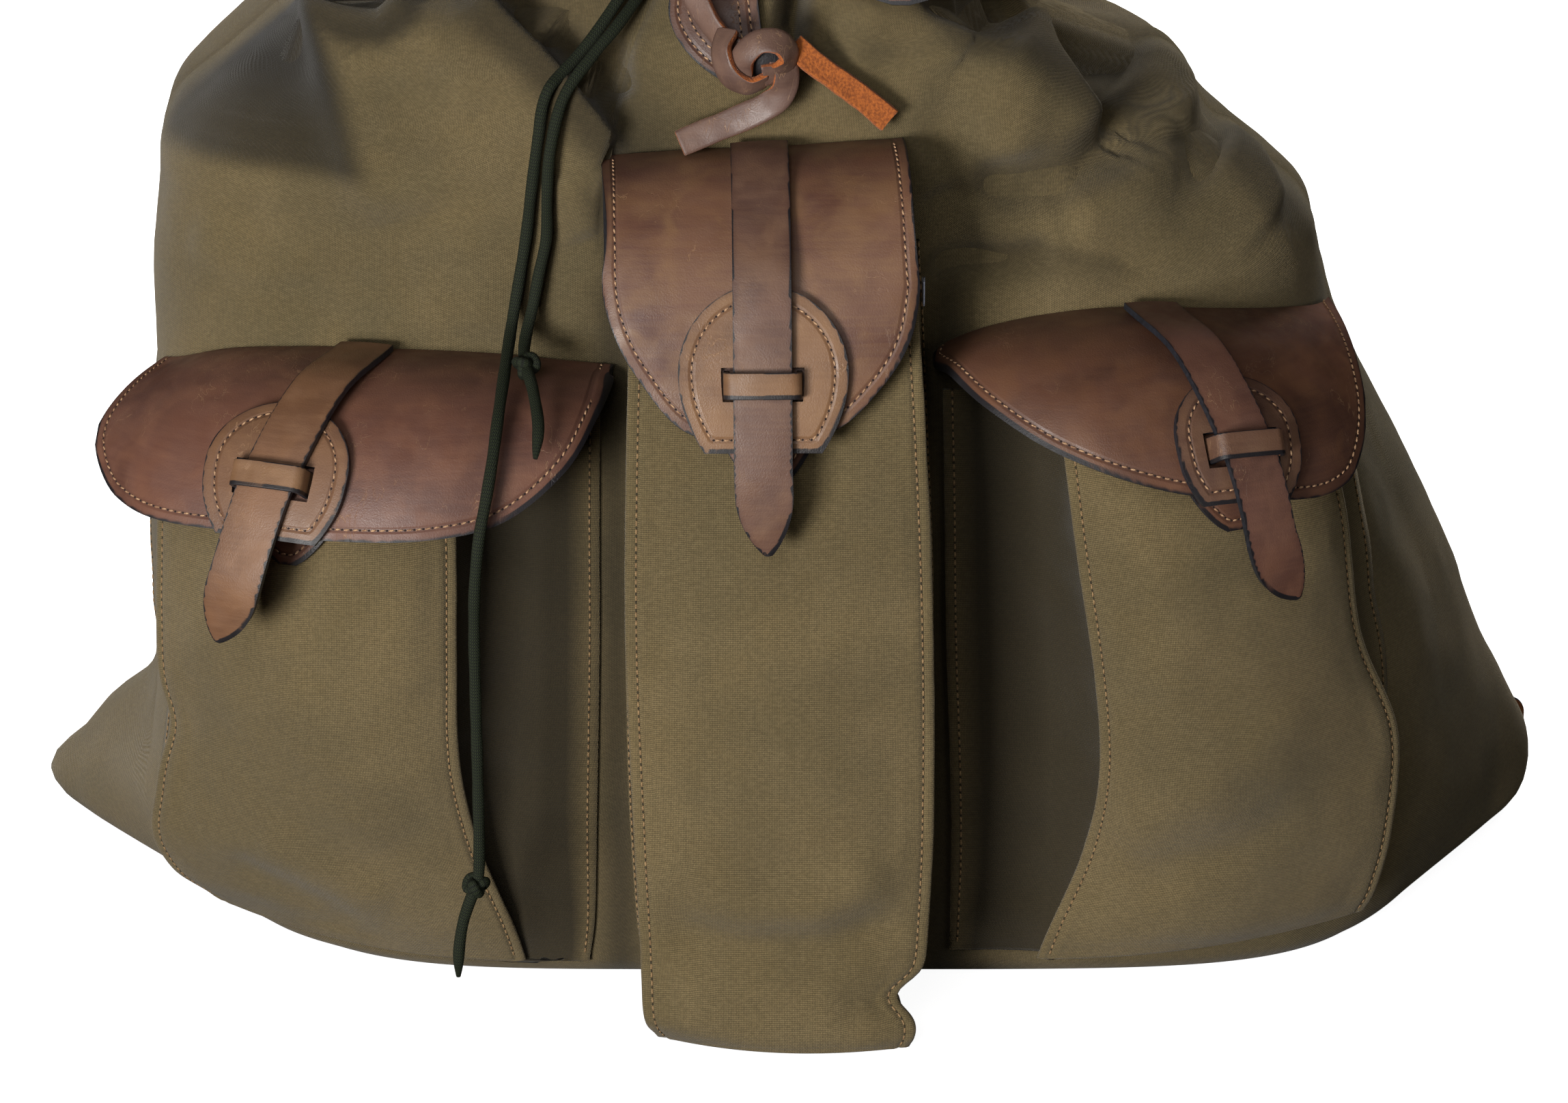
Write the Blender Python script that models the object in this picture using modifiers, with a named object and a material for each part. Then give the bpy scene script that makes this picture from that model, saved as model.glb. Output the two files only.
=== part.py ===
"""A canvas rucksack that stands by itself: a gathered sack with three gusset pockets on its front,
each under a leather flap held by a strap and a keeper, and a leather lid over the drawn neck.

Metres, +Z up. The front faces -Y, and left is -X, as it lies when seen from the front. The tables
are in millimetres. Each names its columns, and each of its rows is one section, station or fold.
"""

import math

import bmesh
import bpy
from mathutils import Matrix, Vector
from mathutils.bvhtree import BVHTree

MM = 0.001

# Driving dimensions
CANVAS = 2.0 * MM
FLAP_LEATHER = 2.6 * MM
STRAP_LEATHER = 2.2 * MM
KEEPER_LEATHER = 1.8 * MM
LACE_LEATHER = 2.0 * MM
STRAP_WIDTH = 19.0 * MM
CORD_DIAMETER = 4.0 * MM
GAP = 0.3 * MM
SEAM_GAP = 2.6 * MM
SEAM_TOP_GAPS = {"pocket_centre": 1.0 * MM, "pocket_left": 2.3 * MM, "pocket_right": 2.3 * MM}
SHIFT_Y = -7.0 * MM

# Finishes: linear colours
FINISH_COLUMNS = ("red", "green", "blue", "roughness")
FINISHES = {
    "green_canvas": (0.075, 0.066, 0.034, 0.95),
    "brown_leather": (0.085, 0.040, 0.026, 0.5),
    "tan_leather": (0.125, 0.065, 0.036, 0.55),
    "green_cord": (0.012, 0.018, 0.009, 0.8),
    "white_cloth": (0.55, 0.58, 0.62, 0.8),
}

# The sack
COLUMNS = 54
WALL_TOP = 250.0
NECK_HEIGHT = 386.0
NECK_CENTRE = (12.0, 24.0)
NECK_RADIUS = 36.0
PLEATS = 9
PLEAT_DEPTH = 6.0
DOME_POWER = {"front": 2.3, "back": 2.5}
SHOULDER_COLUMNS = ("up", "left", "right")
SHOULDER_ROWS = (
    (0.0, 1.0, 1.0),
    (0.08, 0.992, 0.978),
    (0.16, 0.984, 0.905),
    (0.29, 0.972, 0.748),
    (0.38, 0.955, 0.665),
    (0.5, 0.868, 0.56),
    (0.58, 0.8, 0.33),
    (0.7, 0.69, 0.22),
    (0.82, 0.53, 0.15),
    (0.92, 0.32, 0.085),
    (1.0, 0.0, 0.0),
)

BODY_COLUMNS = (
    "z", "front_left", "front_right", "back_left", "back_right",
    "front", "back", "front_square", "back_square",
)
BODY_ROWS = (
    (0.0, 150.0, 182.0, 272.0, 281.0, -54.0, 113.0, 5.5, 8.5),
    (5.0, 160.0, 187.0, 288.0, 291.0, -58.0, 119.0, 5.5, 9.0),
    (16.0, 174.0, 192.0, 291.0, 295.0, -60.0, 123.0, 5.0, 9.0),
    (32.0, 194.0, 198.0, 270.0, 294.0, -61.0, 123.0, 4.2, 8.0),
    (52.0, 208.0, 203.0, 245.0, 285.0, -62.0, 122.0, 3.6, 7.0),
    (80.0, 216.0, 206.0, 235.0, 271.0, -64.0, 122.0, 3.2, 5.5),
    (115.0, 218.0, 206.0, 231.0, 258.0, -65.0, 121.0, 3.0, 4.8),
    (150.0, 218.0, 200.0, 230.0, 237.0, -67.0, 119.0, 3.0, 4.5),
    (185.0, 217.0, 193.0, 229.0, 214.0, -68.0, 117.0, 3.0, 4.2),
    (220.0, 216.0, 186.0, 226.0, 199.0, -69.0, 114.0, 3.0, 4.0),
    (250.0, 215.0, 182.0, 222.0, 188.0, -69.0, 111.0, 3.0, 3.8),
)
DOME_STEPS = (0.13, 0.26, 0.38, 0.49, 0.6, 0.72, 0.86, 1.0)

# Folds of the sack, along a line on its front: where it starts and ends, how high it stands (a valley
# is below zero), and how wide it is on its left and on its right, looking from start to end.
FOLD_COLUMNS = ("from_x", "from_z", "to_x", "to_z", "height", "left_width", "right_width")
FOLD_ROWS = (
    (-106.0, 352.0, -76.0, 326.0, 6.0, 7.0, 26.0),
    (-76.0, 326.0, -44.0, 294.0, 6.0, 7.0, 26.0),
    (-166.0, 346.0, -128.0, 339.0, -8.0, 10.0, 5.0),
    (-152.0, 336.0, -146.0, 306.0, 4.0, 12.0, 9.0),
    (-146.0, 306.0, -132.0, 284.0, 2.5, 12.0, 10.0),
    (-174.0, 322.0, -158.0, 292.0, -4.5, 13.0, 13.0),
    (-46.0, 324.0, -43.0, 306.0, -2.0, 4.0, 4.0),
    (44.0, 350.0, 68.0, 334.0, 7.0, 6.0, 20.0),
    (68.0, 334.0, 82.0, 333.0, 7.0, 6.0, 20.0),
    (82.0, 333.0, 108.0, 314.0, 7.0, 6.0, 20.0),
    (52.0, 322.0, 46.0, 300.0, -3.0, 9.0, 9.0),
    (68.0, 297.0, 96.0, 294.0, -5.0, 10.0, 13.0),
    (96.0, 294.0, 116.0, 308.0, -6.0, 8.0, 10.0),
    (131.0, 328.0, 124.0, 296.0, 5.0, 14.0, 10.0),
    (124.0, 296.0, 90.0, 282.0, 3.5, 10.0, 13.0),
    (52.0, 290.0, 62.0, 262.0, -3.5, 9.0, 14.0),
)


def record(columns, row):
    return dict(zip(columns, row))


def hermite(a, b, slope_a, slope_b, span, share):
    """The cubic from a to b with those slopes, at that share of the span."""
    s2, s3 = share * share, share * share * share
    return (
        (2 * s3 - 3 * s2 + 1) * a
        + (s3 - 2 * s2 + share) * span * slope_a
        + (3 * s2 - 2 * s3) * b
        + (s3 - s2) * span * slope_b
    )


def smooth(table, at):
    """A row of numbers at that place in the table's first column, on a smooth curve through its rows."""
    keys = [row[0] for row in table]
    at = min(max(at, min(keys)), max(keys))
    spans = list(zip(keys, keys[1:]))
    k = next(i for i, span in enumerate(spans) if min(span) <= at <= max(span))
    span = keys[k + 1] - keys[k]
    share = (at - keys[k]) / span

    def slope(i, column):
        before, after = max(i - 1, 0), min(i + 1, len(keys) - 1)
        return (table[after][column] - table[before][column]) / (keys[after] - keys[before])

    return tuple(
        hermite(table[k][c], table[k + 1][c], slope(k, c), slope(k + 1, c), span, share)
        for c in range(len(table[0]))
    )


def ease(low, high, at):
    """Runs smoothly from 0 at low to 1 at high, whichever of them is the greater."""
    share = min(max((at - low) / (high - low), 0.0), 1.0)
    return share * share * (3 - 2 * share)


def signed_power(value, power):
    return math.copysign(abs(value) ** power, value)


def wall_point(angle, z):
    """A point of the sack's wall, in millimetres: a rounded section that is wider at its back."""
    row = record(BODY_COLUMNS, smooth(BODY_ROWS, z))
    across, along = math.cos(angle), math.sin(angle)
    power = 2.0 / (row["back_square"] if along > 0 else row["front_square"])
    middle = 0.35 * row["front"] + 0.65 * row["back"] - 28.0
    reach = row["back"] - middle if along > 0 else middle - row["front"]
    y = middle + reach * signed_power(along, power)
    depth = (y - row["front"]) / (row["back"] - row["front"])
    side = "left" if across < 0 else "right"
    half = row["front_" + side] * (1 - depth) + row["back_" + side] * depth
    return Vector((half * signed_power(across, power), y, z))


def dome_reach(angle, up):
    """How far out from the neck the dome is at that share of its height: 1 at its foot, 0 at the neck."""
    across, along = math.cos(angle), math.sin(angle)
    power = DOME_POWER["back"] if along > 0 else DOME_POWER["front"]
    face = max(1 - up**power, 0.0) ** (1 / power)
    shoulder = record(SHOULDER_COLUMNS, smooth(SHOULDER_ROWS, up))["left" if across < 0 else "right"]
    share = 1 - along**6
    return max(shoulder * share + face * (1 - share), 0.0)


def sack_base(angle, height):
    """The sack without its folds. height runs from 0 at the floor to WALL_TOP, and on to WALL_TOP + 1
    at the neck."""
    if height <= WALL_TOP:
        return wall_point(angle, height)
    up = height - WALL_TOP
    foot = wall_point(angle, WALL_TOP)
    neck = Vector(
        (
            NECK_CENTRE[0] + NECK_RADIUS * math.cos(angle),
            NECK_CENTRE[1] + NECK_RADIUS * math.sin(angle),
            NECK_HEIGHT,
        )
    )
    point = neck + (foot - neck) * dome_reach(angle, up)
    point.z = WALL_TOP + (NECK_HEIGHT - WALL_TOP) * up
    return point


def sack_normal(angle, height):
    step = 0.5 if height <= WALL_TOP - 0.5 else 0.004
    high = min(height + step, WALL_TOP + 1.0)
    up = sack_base(angle, high) - sack_base(angle, height - min(step, height))
    round_it = sack_base(angle + 0.01, height) - sack_base(angle - 0.01, height)
    normal = round_it.cross(up)
    return normal.normalized() if normal.length > 1e-9 else Vector((0, 0, 1))


def pleat_height(angle, height):
    """The neck's gathers, which fade out down the dome."""
    up = height - WALL_TOP
    if up <= 0:
        return 0.0
    wander = 0.35 * math.sin(3 * angle + 0.6)
    return PLEAT_DEPTH * ease(0.35, 1.0, up) * math.cos(PLEATS * angle + wander)


def fold_height(point):
    """The sum of the front's folds at a point of the base surface."""
    total = 0.0
    for row in FOLD_ROWS:
        fold = record(FOLD_COLUMNS, row)
        start = Vector((fold["from_x"], fold["from_z"]))
        line = Vector((fold["to_x"], fold["to_z"])) - start
        to_point = Vector((point.x, point.z)) - start
        share = min(max(to_point.dot(line) / line.length_squared, 0.0), 1.0)
        away = to_point - line * share
        side = line.x * to_point.y - line.y * to_point.x
        width = fold["left_width"] if side > 0 else fold["right_width"]
        total += fold["height"] * math.exp(-((away.length / width) ** 2))
    if -68.0 < point.x < 48.0:
        total *= ease(300.0, 318.0, point.z)
    return total


def sack_point(angle, height):
    """A point of the sack's outer surface, in metres."""
    base = sack_base(angle, height)
    lift = pleat_height(angle, height)
    if math.sin(angle) < 0.2:
        lift += fold_height(base) * ease(0.2, -0.2, math.sin(angle)) * ease(215.0, 245.0, base.z)
    return (base + sack_normal(angle, height) * lift) * MM


def front_angle(x, height):
    """The angle, on the front half, at which the sack's section reaches that x, in millimetres."""
    low, high = math.pi, 2 * math.pi
    for _ in range(40):
        middle = (low + high) / 2
        if sack_base(middle, height).x < x:
            low = middle
        else:
            high = middle
    return (low + high) / 2


def sack_height(z):
    """The sack's height parameter at that z, in millimetres."""
    return z if z <= WALL_TOP else WALL_TOP + (z - WALL_TOP) / (NECK_HEIGHT - WALL_TOP)


def off_sack(angle, height, lift):
    return sack_base(angle, height) + sack_normal(angle, height) * lift


def on_front(x, z, lift=0.0):
    """The point of the sack's front at x and z, stood off by lift; all in millimetres."""
    height = sack_height(z)
    return off_sack(front_angle(x, height), height, lift)


# Meshes and modifiers


def clear_scene():
    for old in list(bpy.data.objects):
        bpy.data.objects.remove(old)


def material(name, finish):
    """The piece's own material, from the named finish."""
    found = record(FINISH_COLUMNS, FINISHES[finish])
    made = bpy.data.materials.new(f"{name}_{finish}")
    made.use_nodes = True
    shader = made.node_tree.nodes["Principled BSDF"]
    shader.inputs["Base Color"].default_value = (found["red"], found["green"], found["blue"], 1.0)
    shader.inputs["Roughness"].default_value = found["roughness"]
    shader.inputs["Metallic"].default_value = 0.0
    return made


def place(name, mesh, finish, smooth_angle=40.0):
    """An object of the rucksack from a mesh, with its material, shaded smooth."""
    made = bpy.data.objects.new(name, mesh)
    PARTS.objects.link(made)
    made.parent = ROOT
    mesh.materials.append(material(name, finish))
    mesh.shade_smooth()
    mesh.set_sharp_from_angle(angle=math.radians(smooth_angle))
    return made


def loft(name, rings, closed, caps=(), skip=()):
    """A mesh from rings of points, joined side by side. caps names the rings that get a face of
    their own, and skip the columns that stay open."""
    mesh = bpy.data.meshes.new(name)
    shape = bmesh.new()
    rows = [[shape.verts.new(point) for point in ring] for ring in rings]
    columns = len(rings[0]) if closed else len(rings[0]) - 1
    for upper, lower in zip(rows, rows[1:]):
        for k in range(columns):
            if k not in skip:
                j = (k + 1) % len(upper)
                shape.faces.new((upper[k], upper[j], lower[j], lower[k]))
    for number in caps:
        shape.faces.new(rows[number])
    bmesh.ops.recalc_face_normals(shape, faces=shape.faces)
    shape.to_mesh(mesh)
    shape.free()
    return mesh


def face_outwards(mesh, outside):
    """Turns the whole open surface so that its faces look towards the outside point."""
    total = sum((face.normal.dot(Vector(outside) - face.center) * face.area) for face in mesh.polygons)
    if total < 0:
        mesh.flip_normals()


def thicken(made, thickness, offset):
    wall = made.modifiers.new("wall", "SOLIDIFY")
    wall.thickness = thickness
    wall.offset = offset
    wall.use_even_offset = True
    return wall


def surface_tree(mesh):
    return BVHTree.FromPolygons([v.co for v in mesh.vertices], [tuple(f.vertices) for f in mesh.polygons])


def cut(made, cutter):
    hole = made.modifiers.new("slot", "BOOLEAN")
    hole.operation = "DIFFERENCE"
    hole.object = cutter
    cutter.hide_render = True
    cutter.display_type = "WIRE"


# The sack


def make_sack():
    heights = [row[0] for row in BODY_ROWS] + [WALL_TOP + step for step in DOME_STEPS]
    angles = [2 * math.pi * k / COLUMNS for k in range(COLUMNS)]
    rings = [[sack_point(angle, height) for angle in angles] for height in heights]
    mesh = loft("sack", rings, closed=True, caps=(0,))
    made = place("sack", mesh, "green_canvas", 60.0)
    thicken(made, CANVAS, -1.0)
    return made


# Pockets: each ring runs from the inner seam on the sack, along the gusset to the front panel's
# inner edge, across the panel, and back along the outer gusset.
POCKET_COLUMNS = (
    "level", "z_in", "z_out", "seam_in", "edge_in_x", "edge_in_y",
    "mid_x", "mid_y", "edge_out_x", "edge_out_y", "seam_out",
)
POCKET_ROWS = {
    "pocket_centre": (
        (0.0, 272.0, 272.0, -52.0, -50.0, -109.0, -3.0, -113.0, 43.5, -109.0, 45.5),
        (1.0, 220.0, 220.0, -52.0, -52.0, -117.0, -2.0, -122.0, 47.0, -117.0, 48.0),
        (2.0, 150.0, 150.0, -54.0, -53.0, -119.0, -2.0, -125.0, 50.0, -119.0, 51.0),
        (3.0, 80.0, 80.0, -54.0, -51.0, -118.0, -2.0, -124.0, 50.5, -118.0, 51.0),
        (4.0, 32.0, 30.0, -52.0, -49.0, -118.0, -2.0, -125.0, 48.5, -119.0, 50.0),
        (5.0, 12.0, 9.0, -50.0, -48.0, -121.0, -2.0, -129.0, 45.5, -124.0, 46.5),
        (6.0, 1.5, 1.5, -46.0, -44.0, -113.0, -2.0, -127.0, 43.0, -122.0, 44.0),
    ),
    "pocket_left": (
        (0.0, 212.0, 203.0, -62.0, -109.0, -100.0, -162.0, -102.0, -211.0, -62.0, -219.0),
        (1.0, 174.0, 172.0, -62.5, -109.0, -103.0, -162.0, -106.0, -214.0, -63.0, -221.5),
        (2.0, 130.0, 130.0, -63.0, -110.0, -99.0, -163.0, -102.0, -216.0, -60.0, -221.5),
        (3.0, 92.0, 94.0, -64.0, -110.0, -92.0, -163.0, -94.0, -217.0, -57.0, -220.5),
        (4.0, 56.0, 58.0, -65.0, -104.0, -80.0, -160.0, -84.0, -216.0, -50.0, -218.0),
        (5.0, 24.0, 34.0, -66.0, -94.0, -69.0, -152.0, -72.0, -209.0, -40.0, -213.0),
        (6.0, 7.0, 18.0, -68.0, -90.0, -62.0, -148.0, -60.0, -202.0, -30.0, -205.0),
    ),
    "pocket_right": (
        (0.0, 220.0, 214.0, 53.5, 91.0, -97.0, 141.0, -99.0, 181.0, -70.0, 188.0),
        (1.0, 176.0, 178.0, 54.5, 97.0, -101.0, 147.0, -104.0, 191.0, -69.0, 198.0),
        (2.0, 130.0, 130.0, 55.5, 104.0, -99.0, 152.0, -102.0, 198.0, -64.0, 205.0),
        (3.0, 92.0, 94.0, 57.0, 107.0, -93.0, 156.0, -97.0, 206.0, -58.0, 208.5),
        (4.0, 58.0, 62.0, 58.0, 103.0, -82.0, 155.0, -87.0, 206.0, -57.0, 208.0),
        (5.0, 26.0, 44.0, 58.0, 92.0, -76.0, 148.0, -80.0, 204.0, -55.0, 207.0),
        (6.0, 13.0, 35.0, 58.0, 88.0, -72.0, 144.0, -73.0, 200.0, -52.0, 204.0),
    ),
}
POCKET_RINGS = 8
GUSSET_STEPS = 3
PANEL_STEPS = 8
BACK_STEPS = 6


def quadratic(a, b, c, share):
    """A curve through three points, with b at its middle."""
    control = b * 2 - (a + c) / 2
    return a * (1 - share) ** 2 + control * 2 * share * (1 - share) + c * share**2


def pocket_ring(name, row):
    row = record(POCKET_COLUMNS, row)
    z_in, z_out = row["z_in"], row["z_out"]
    z_mid = (z_in + z_out) / 2
    at_top = SEAM_TOP_GAPS[name] / MM
    below = SEAM_GAP / MM * (1 + 0.2 * row["level"])
    stand_off = at_top + (below - at_top) * ease(0.0, 0.9, row["level"])
    seam_in = on_front(row["seam_in"], z_in, stand_off)
    seam_out = on_front(row["seam_out"], z_out, stand_off)
    seam_in.z, seam_out.z = z_in, z_out
    edge_in = Vector((row["edge_in_x"], row["edge_in_y"], z_in))
    edge_out = Vector((row["edge_out_x"], row["edge_out_y"], z_out))
    middle = Vector((row["mid_x"], row["mid_y"], z_mid))
    ring = [seam_in.lerp(edge_in, k / GUSSET_STEPS) for k in range(GUSSET_STEPS)]
    ring += [quadratic(edge_in, middle, edge_out, k / PANEL_STEPS) for k in range(PANEL_STEPS)]
    ring += [edge_out.lerp(seam_out, k / GUSSET_STEPS) for k in range(GUSSET_STEPS + 1)]
    angle_out = front_angle(row["seam_out"], sack_height(z_out))
    angle_in = front_angle(row["seam_in"], sack_height(z_in))
    for k in range(1, BACK_STEPS):
        share = k / BACK_STEPS
        z = z_out + (z_in - z_out) * share
        point = off_sack(angle_out + (angle_in - angle_out) * share, sack_height(z), stand_off)
        point.z = z
        ring.append(point)
    return [point * MM for point in ring]


def make_pocket(name):
    """A canvas pocket, open at its top and towards the sack."""
    rows = POCKET_ROWS[name]
    last = len(rows) - 1
    rings = [pocket_ring(name, smooth(rows, last * k / (POCKET_RINGS - 1))) for k in range(POCKET_RINGS)]
    open_columns = range(2 * GUSSET_STEPS + PANEL_STEPS, len(rings[0]))
    mesh = loft(name, rings, closed=True, caps=(POCKET_RINGS - 1,), skip=open_columns)
    face_outwards(mesh, rings[POCKET_RINGS // 2][GUSSET_STEPS + PANEL_STEPS // 2] + Vector((0, -1, 0)))
    made = place(name, mesh, "green_canvas", 50.0)
    thicken(made, CANVAS, -1.0).use_even_offset = False
    return made


# Flaps: each station goes from the hinge on the sack to the flap's free edge.
FLAP_COLUMNS = ("station", "hinge_x", "hinge_z", "edge_x", "edge_y", "edge_z", "crown")
FLAP_ROWS = {
    "flap_centre": (
        (0.0, -60.5, 298.4, -58.8, -114.0, 275.0, 4.0),
        (1.0, -54.5, 298.9, -55.4, -121.0, 258.0, 6.0),
        (2.0, -41.5, 299.9, -47.5, -126.0, 243.0, 8.0),
        (3.0, -26.0, 300.9, -32.0, -130.0, 226.0, 9.0),
        (4.0, -9.0, 301.4, -8.0, -131.0, 222.0, 9.0),
        (5.0, 8.0, 302.4, 15.5, -130.0, 226.0, 9.0),
        (6.0, 23.5, 303.4, 30.0, -126.0, 238.0, 8.0),
        (7.0, 34.0, 303.9, 39.6, -121.0, 252.0, 6.0),
        (8.0, 40.0, 304.4, 43.5, -114.0, 270.0, 4.0),
    ),
    "flap_left": (
        (0.0, -57.5, 226.4, -58.3, -75.0, 226.5, 0.0),
        (1.0, -64.0, 226.9, -63.8, -97.0, 218.5, 2.0),
        (2.0, -76.5, 227.9, -73.7, -114.0, 205.5, 5.0),
        (3.0, -95.0, 229.4, -92.8, -125.0, 192.5, 7.0),
        (4.0, -116.0, 229.9, -117.2, -130.0, 188.0, 8.0),
        (5.0, -140.0, 229.4, -146.9, -128.0, 187.0, 8.0),
        (6.0, -163.5, 227.9, -178.7, -119.0, 187.0, 7.0),
        (7.0, -188.5, 223.4, -212.0, -102.0, 187.0, 5.0),
        (8.0, -212.0, 212.9, -234.0, -73.0, 194.5, 2.0),
    ),
    "flap_right": (
        (0.0, 52.0, 231.4, 53.0, -75.0, 230.0, 0.0),
        (1.0, 56.5, 234.9, 56.5, -93.0, 232.0, 1.0),
        (2.0, 68.5, 239.4, 68.0, -110.0, 226.5, 3.0),
        (3.0, 86.5, 242.9, 86.1, -122.0, 217.5, 5.0),
        (4.0, 107.5, 244.4, 107.8, -128.0, 209.5, 6.0),
        (5.0, 128.5, 242.9, 131.2, -126.0, 202.5, 7.0),
        (6.0, 149.5, 239.9, 155.2, -117.0, 197.5, 6.0),
        (7.0, 167.0, 235.4, 179.5, -100.0, 193.5, 4.0),
        (8.0, 180.0, 228.9, 195.5, -78.0, 198.5, 2.0),
    ),
}
FLAP_STATIONS = 14
FLAP_STEPS = 6
HINGE_STAND_OFF = 1.0


def flap_point(name, station, along):
    """A point of a flap's inner surface, in metres. along runs from 0 at the hinge to 1 at the edge."""
    row = record(FLAP_COLUMNS, smooth(FLAP_ROWS[name], station))
    hinge = on_front(row["hinge_x"], row["hinge_z"], HINGE_STAND_OFF)
    edge = Vector((row["edge_x"], row["edge_y"], row["edge_z"]))
    over = hinge.lerp(edge, 0.8)
    over.z = hinge.z + row["crown"] * 0.4
    rest = 1 - along
    return (hinge * rest * rest + over * 2 * along * rest + edge * along * along) * MM


def flap_sheet(name, extra_steps=0):
    """The flap's inner surface, which may run on past its free edge."""
    far = len(FLAP_ROWS[name]) - 1
    steps = FLAP_STEPS + extra_steps
    rows = [
        [flap_point(name, far * k / FLAP_STATIONS, j / FLAP_STEPS) for j in range(steps + 1)]
        for k in range(FLAP_STATIONS + 1)
    ]
    mesh = loft(name, rows, closed=False)
    face_outwards(mesh, Vector((0, -1, 1)))
    return mesh


def make_flap(name):
    """A leather flap. Its inner surface is the drawn one, and the leather stands outside it."""
    mesh = flap_sheet(name)
    made = place(name, mesh, "brown_leather")
    thicken(made, FLAP_LEATHER, 1.0)
    return made


# Closures: a slotted tab on the flap, an anchor patch on the pocket, a keeper through both slots
# and a strap under the keeper. Places on the flap are a station and a share along it.
CLOSURE_COLUMNS = (
    "station", "along", "top_station", "tip_x", "tip_y", "tip_z", "anchor_x", "anchor_top", "anchor_bottom",
)
CLOSURE_ROWS = {
    "centre": (4.05, 0.875, 4.05, -5.0, -138.0, 186.0, -5.0, 246.0, 203.0),
    "left": (5.82, 0.78, 5.05, -188.0, -122.0, 150.0, -168.0, 205.0, 171.0),
    "right": (5.75, 0.83, 4.7, 170.5, -117.0, 163.5, 150.0, 214.0, 182.0),
}
SLOT_HALF_WIDTH = 13.4 * MM
SLOT_HALF_HEIGHT = 5.4 * MM
KEEPER_HALF_WIDTH = 11.9 * MM
KEEPER_HALF_HEIGHT = 4.4 * MM
KEEPER_ROOM = 2.0 * MM
TAB_TOP, TAB_BOTTOM = 31.0, -22.0
TAB_STAND_OFF = 1.2 * MM


def strap_place(row, share):
    """A closing strap's place on its flap, as a station and a share along it, on its way to the slot."""
    station = row["top_station"] + (row["station"] - row["top_station"]) * share
    return station, STRAP_START + (row["along"] - STRAP_START) * share


class Closure:
    """The frame of one closure: its middle on the flap's outer face, and its three directions."""

    def __init__(self, side):
        self.side = side
        self.flap = "flap_" + side
        row = record(CLOSURE_COLUMNS, CLOSURE_ROWS[side])
        self.row = row
        at = flap_point(self.flap, row["station"], row["along"])
        before = flap_point(self.flap, *strap_place(row, 0.85))
        across = flap_point(self.flap, row["station"] + 0.2, row["along"]) - flap_point(
            self.flap, row["station"] - 0.2, row["along"]
        )
        along = flap_point(self.flap, row["station"], row["along"] + 0.02) - flap_point(
            self.flap, row["station"], row["along"] - 0.02
        )
        self.normal = along.cross(across).normalized()
        if self.normal.z < self.normal.y:
            self.normal.negate()
        self.at = at + self.normal * FLAP_LEATHER
        up = before - at
        up -= self.normal * up.dot(self.normal)
        self.up = up.normalized()
        self.across = self.up.cross(self.normal).normalized()
        wide = flap_sheet(self.flap, extra_steps=2)
        self.flap_tree = surface_tree(wide)
        bpy.data.meshes.remove(wide)

    def in_plane(self, across, up):
        return self.at + self.across * across + self.up * up

    def matrix(self):
        turn = Matrix((self.across, self.up, self.normal)).transposed()
        return Matrix.Translation(self.at) @ turn.to_4x4()

    def drop(self, tree, across, up, lift):
        """The point of a surface under that place in the closure's plane, stood off by lift."""
        start = self.in_plane(across, up) + self.normal * 0.05
        hit, facing = tree.ray_cast(start, -self.normal, 0.2)[:2]
        if hit is None:
            return None
        if facing.dot(self.normal) < 0:
            facing = -facing
        return hit + facing * lift


def tab_half_width(up):
    """The tab's half width in millimetres: a round head on a squared foot."""
    if up > 4.0:
        share = min((up - 4.0) / (TAB_TOP - 4.0), 1.0)
        return max(27.5 * math.sqrt(1 - share * share), 4.0)
    share = (4.0 - up) / (4.0 - TAB_BOTTOM)
    return 27.5 - 8.5 * share * share


def anchor_half_width(share):
    """The anchor patch's half width in millimetres: it narrows to a point below."""
    return 3.0 + 17.0 * math.sin(min(share * 1.15, 1.0) * math.pi / 2) ** 0.8


def tab_mesh(closure):
    """The tab follows the flap under it: rows up its length, as wide as tab_half_width says."""
    rows, columns = 8, 6
    lift = FLAP_LEATHER + TAB_STAND_OFF
    grid = []
    for k in range(rows + 1):
        up = TAB_BOTTOM + (TAB_TOP - TAB_BOTTOM) * (0.5 - 0.5 * math.cos(math.pi * k / rows))
        half = tab_half_width(up)
        places = [half * (2 * j / columns - 1) for j in range(columns + 1)]
        grid.append([closure.drop(closure.flap_tree, across * MM, up * MM, lift) for across in places])
    mesh = loft("tab_" + closure.side, grid, closed=False)
    face_outwards(mesh, closure.at + closure.normal * 2)
    return mesh


def anchor_mesh(closure, pocket_tree):
    """The patch on the pocket's front that holds the keeper."""
    row = closure.row
    rows, columns = 5, 4
    grid = []
    for k in range(rows + 1):
        share = k / rows
        z = row["anchor_bottom"] + (row["anchor_top"] - row["anchor_bottom"]) * share
        half = anchor_half_width(share)
        line = []
        for j in range(columns + 1):
            start = Vector((row["anchor_x"] + half * (2 * j / columns - 1), -300.0, z)) * MM
            hit = pocket_tree.ray_cast(start, Vector((0, 1, 0)), 0.4)[0]
            line.append(hit + Vector((0, -GAP * 2.5, 0)))
        grid.append(line)
    mesh = loft("anchor_" + closure.side, grid, closed=False)
    face_outwards(mesh, Vector((0, -2, 0)))
    return mesh


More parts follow.
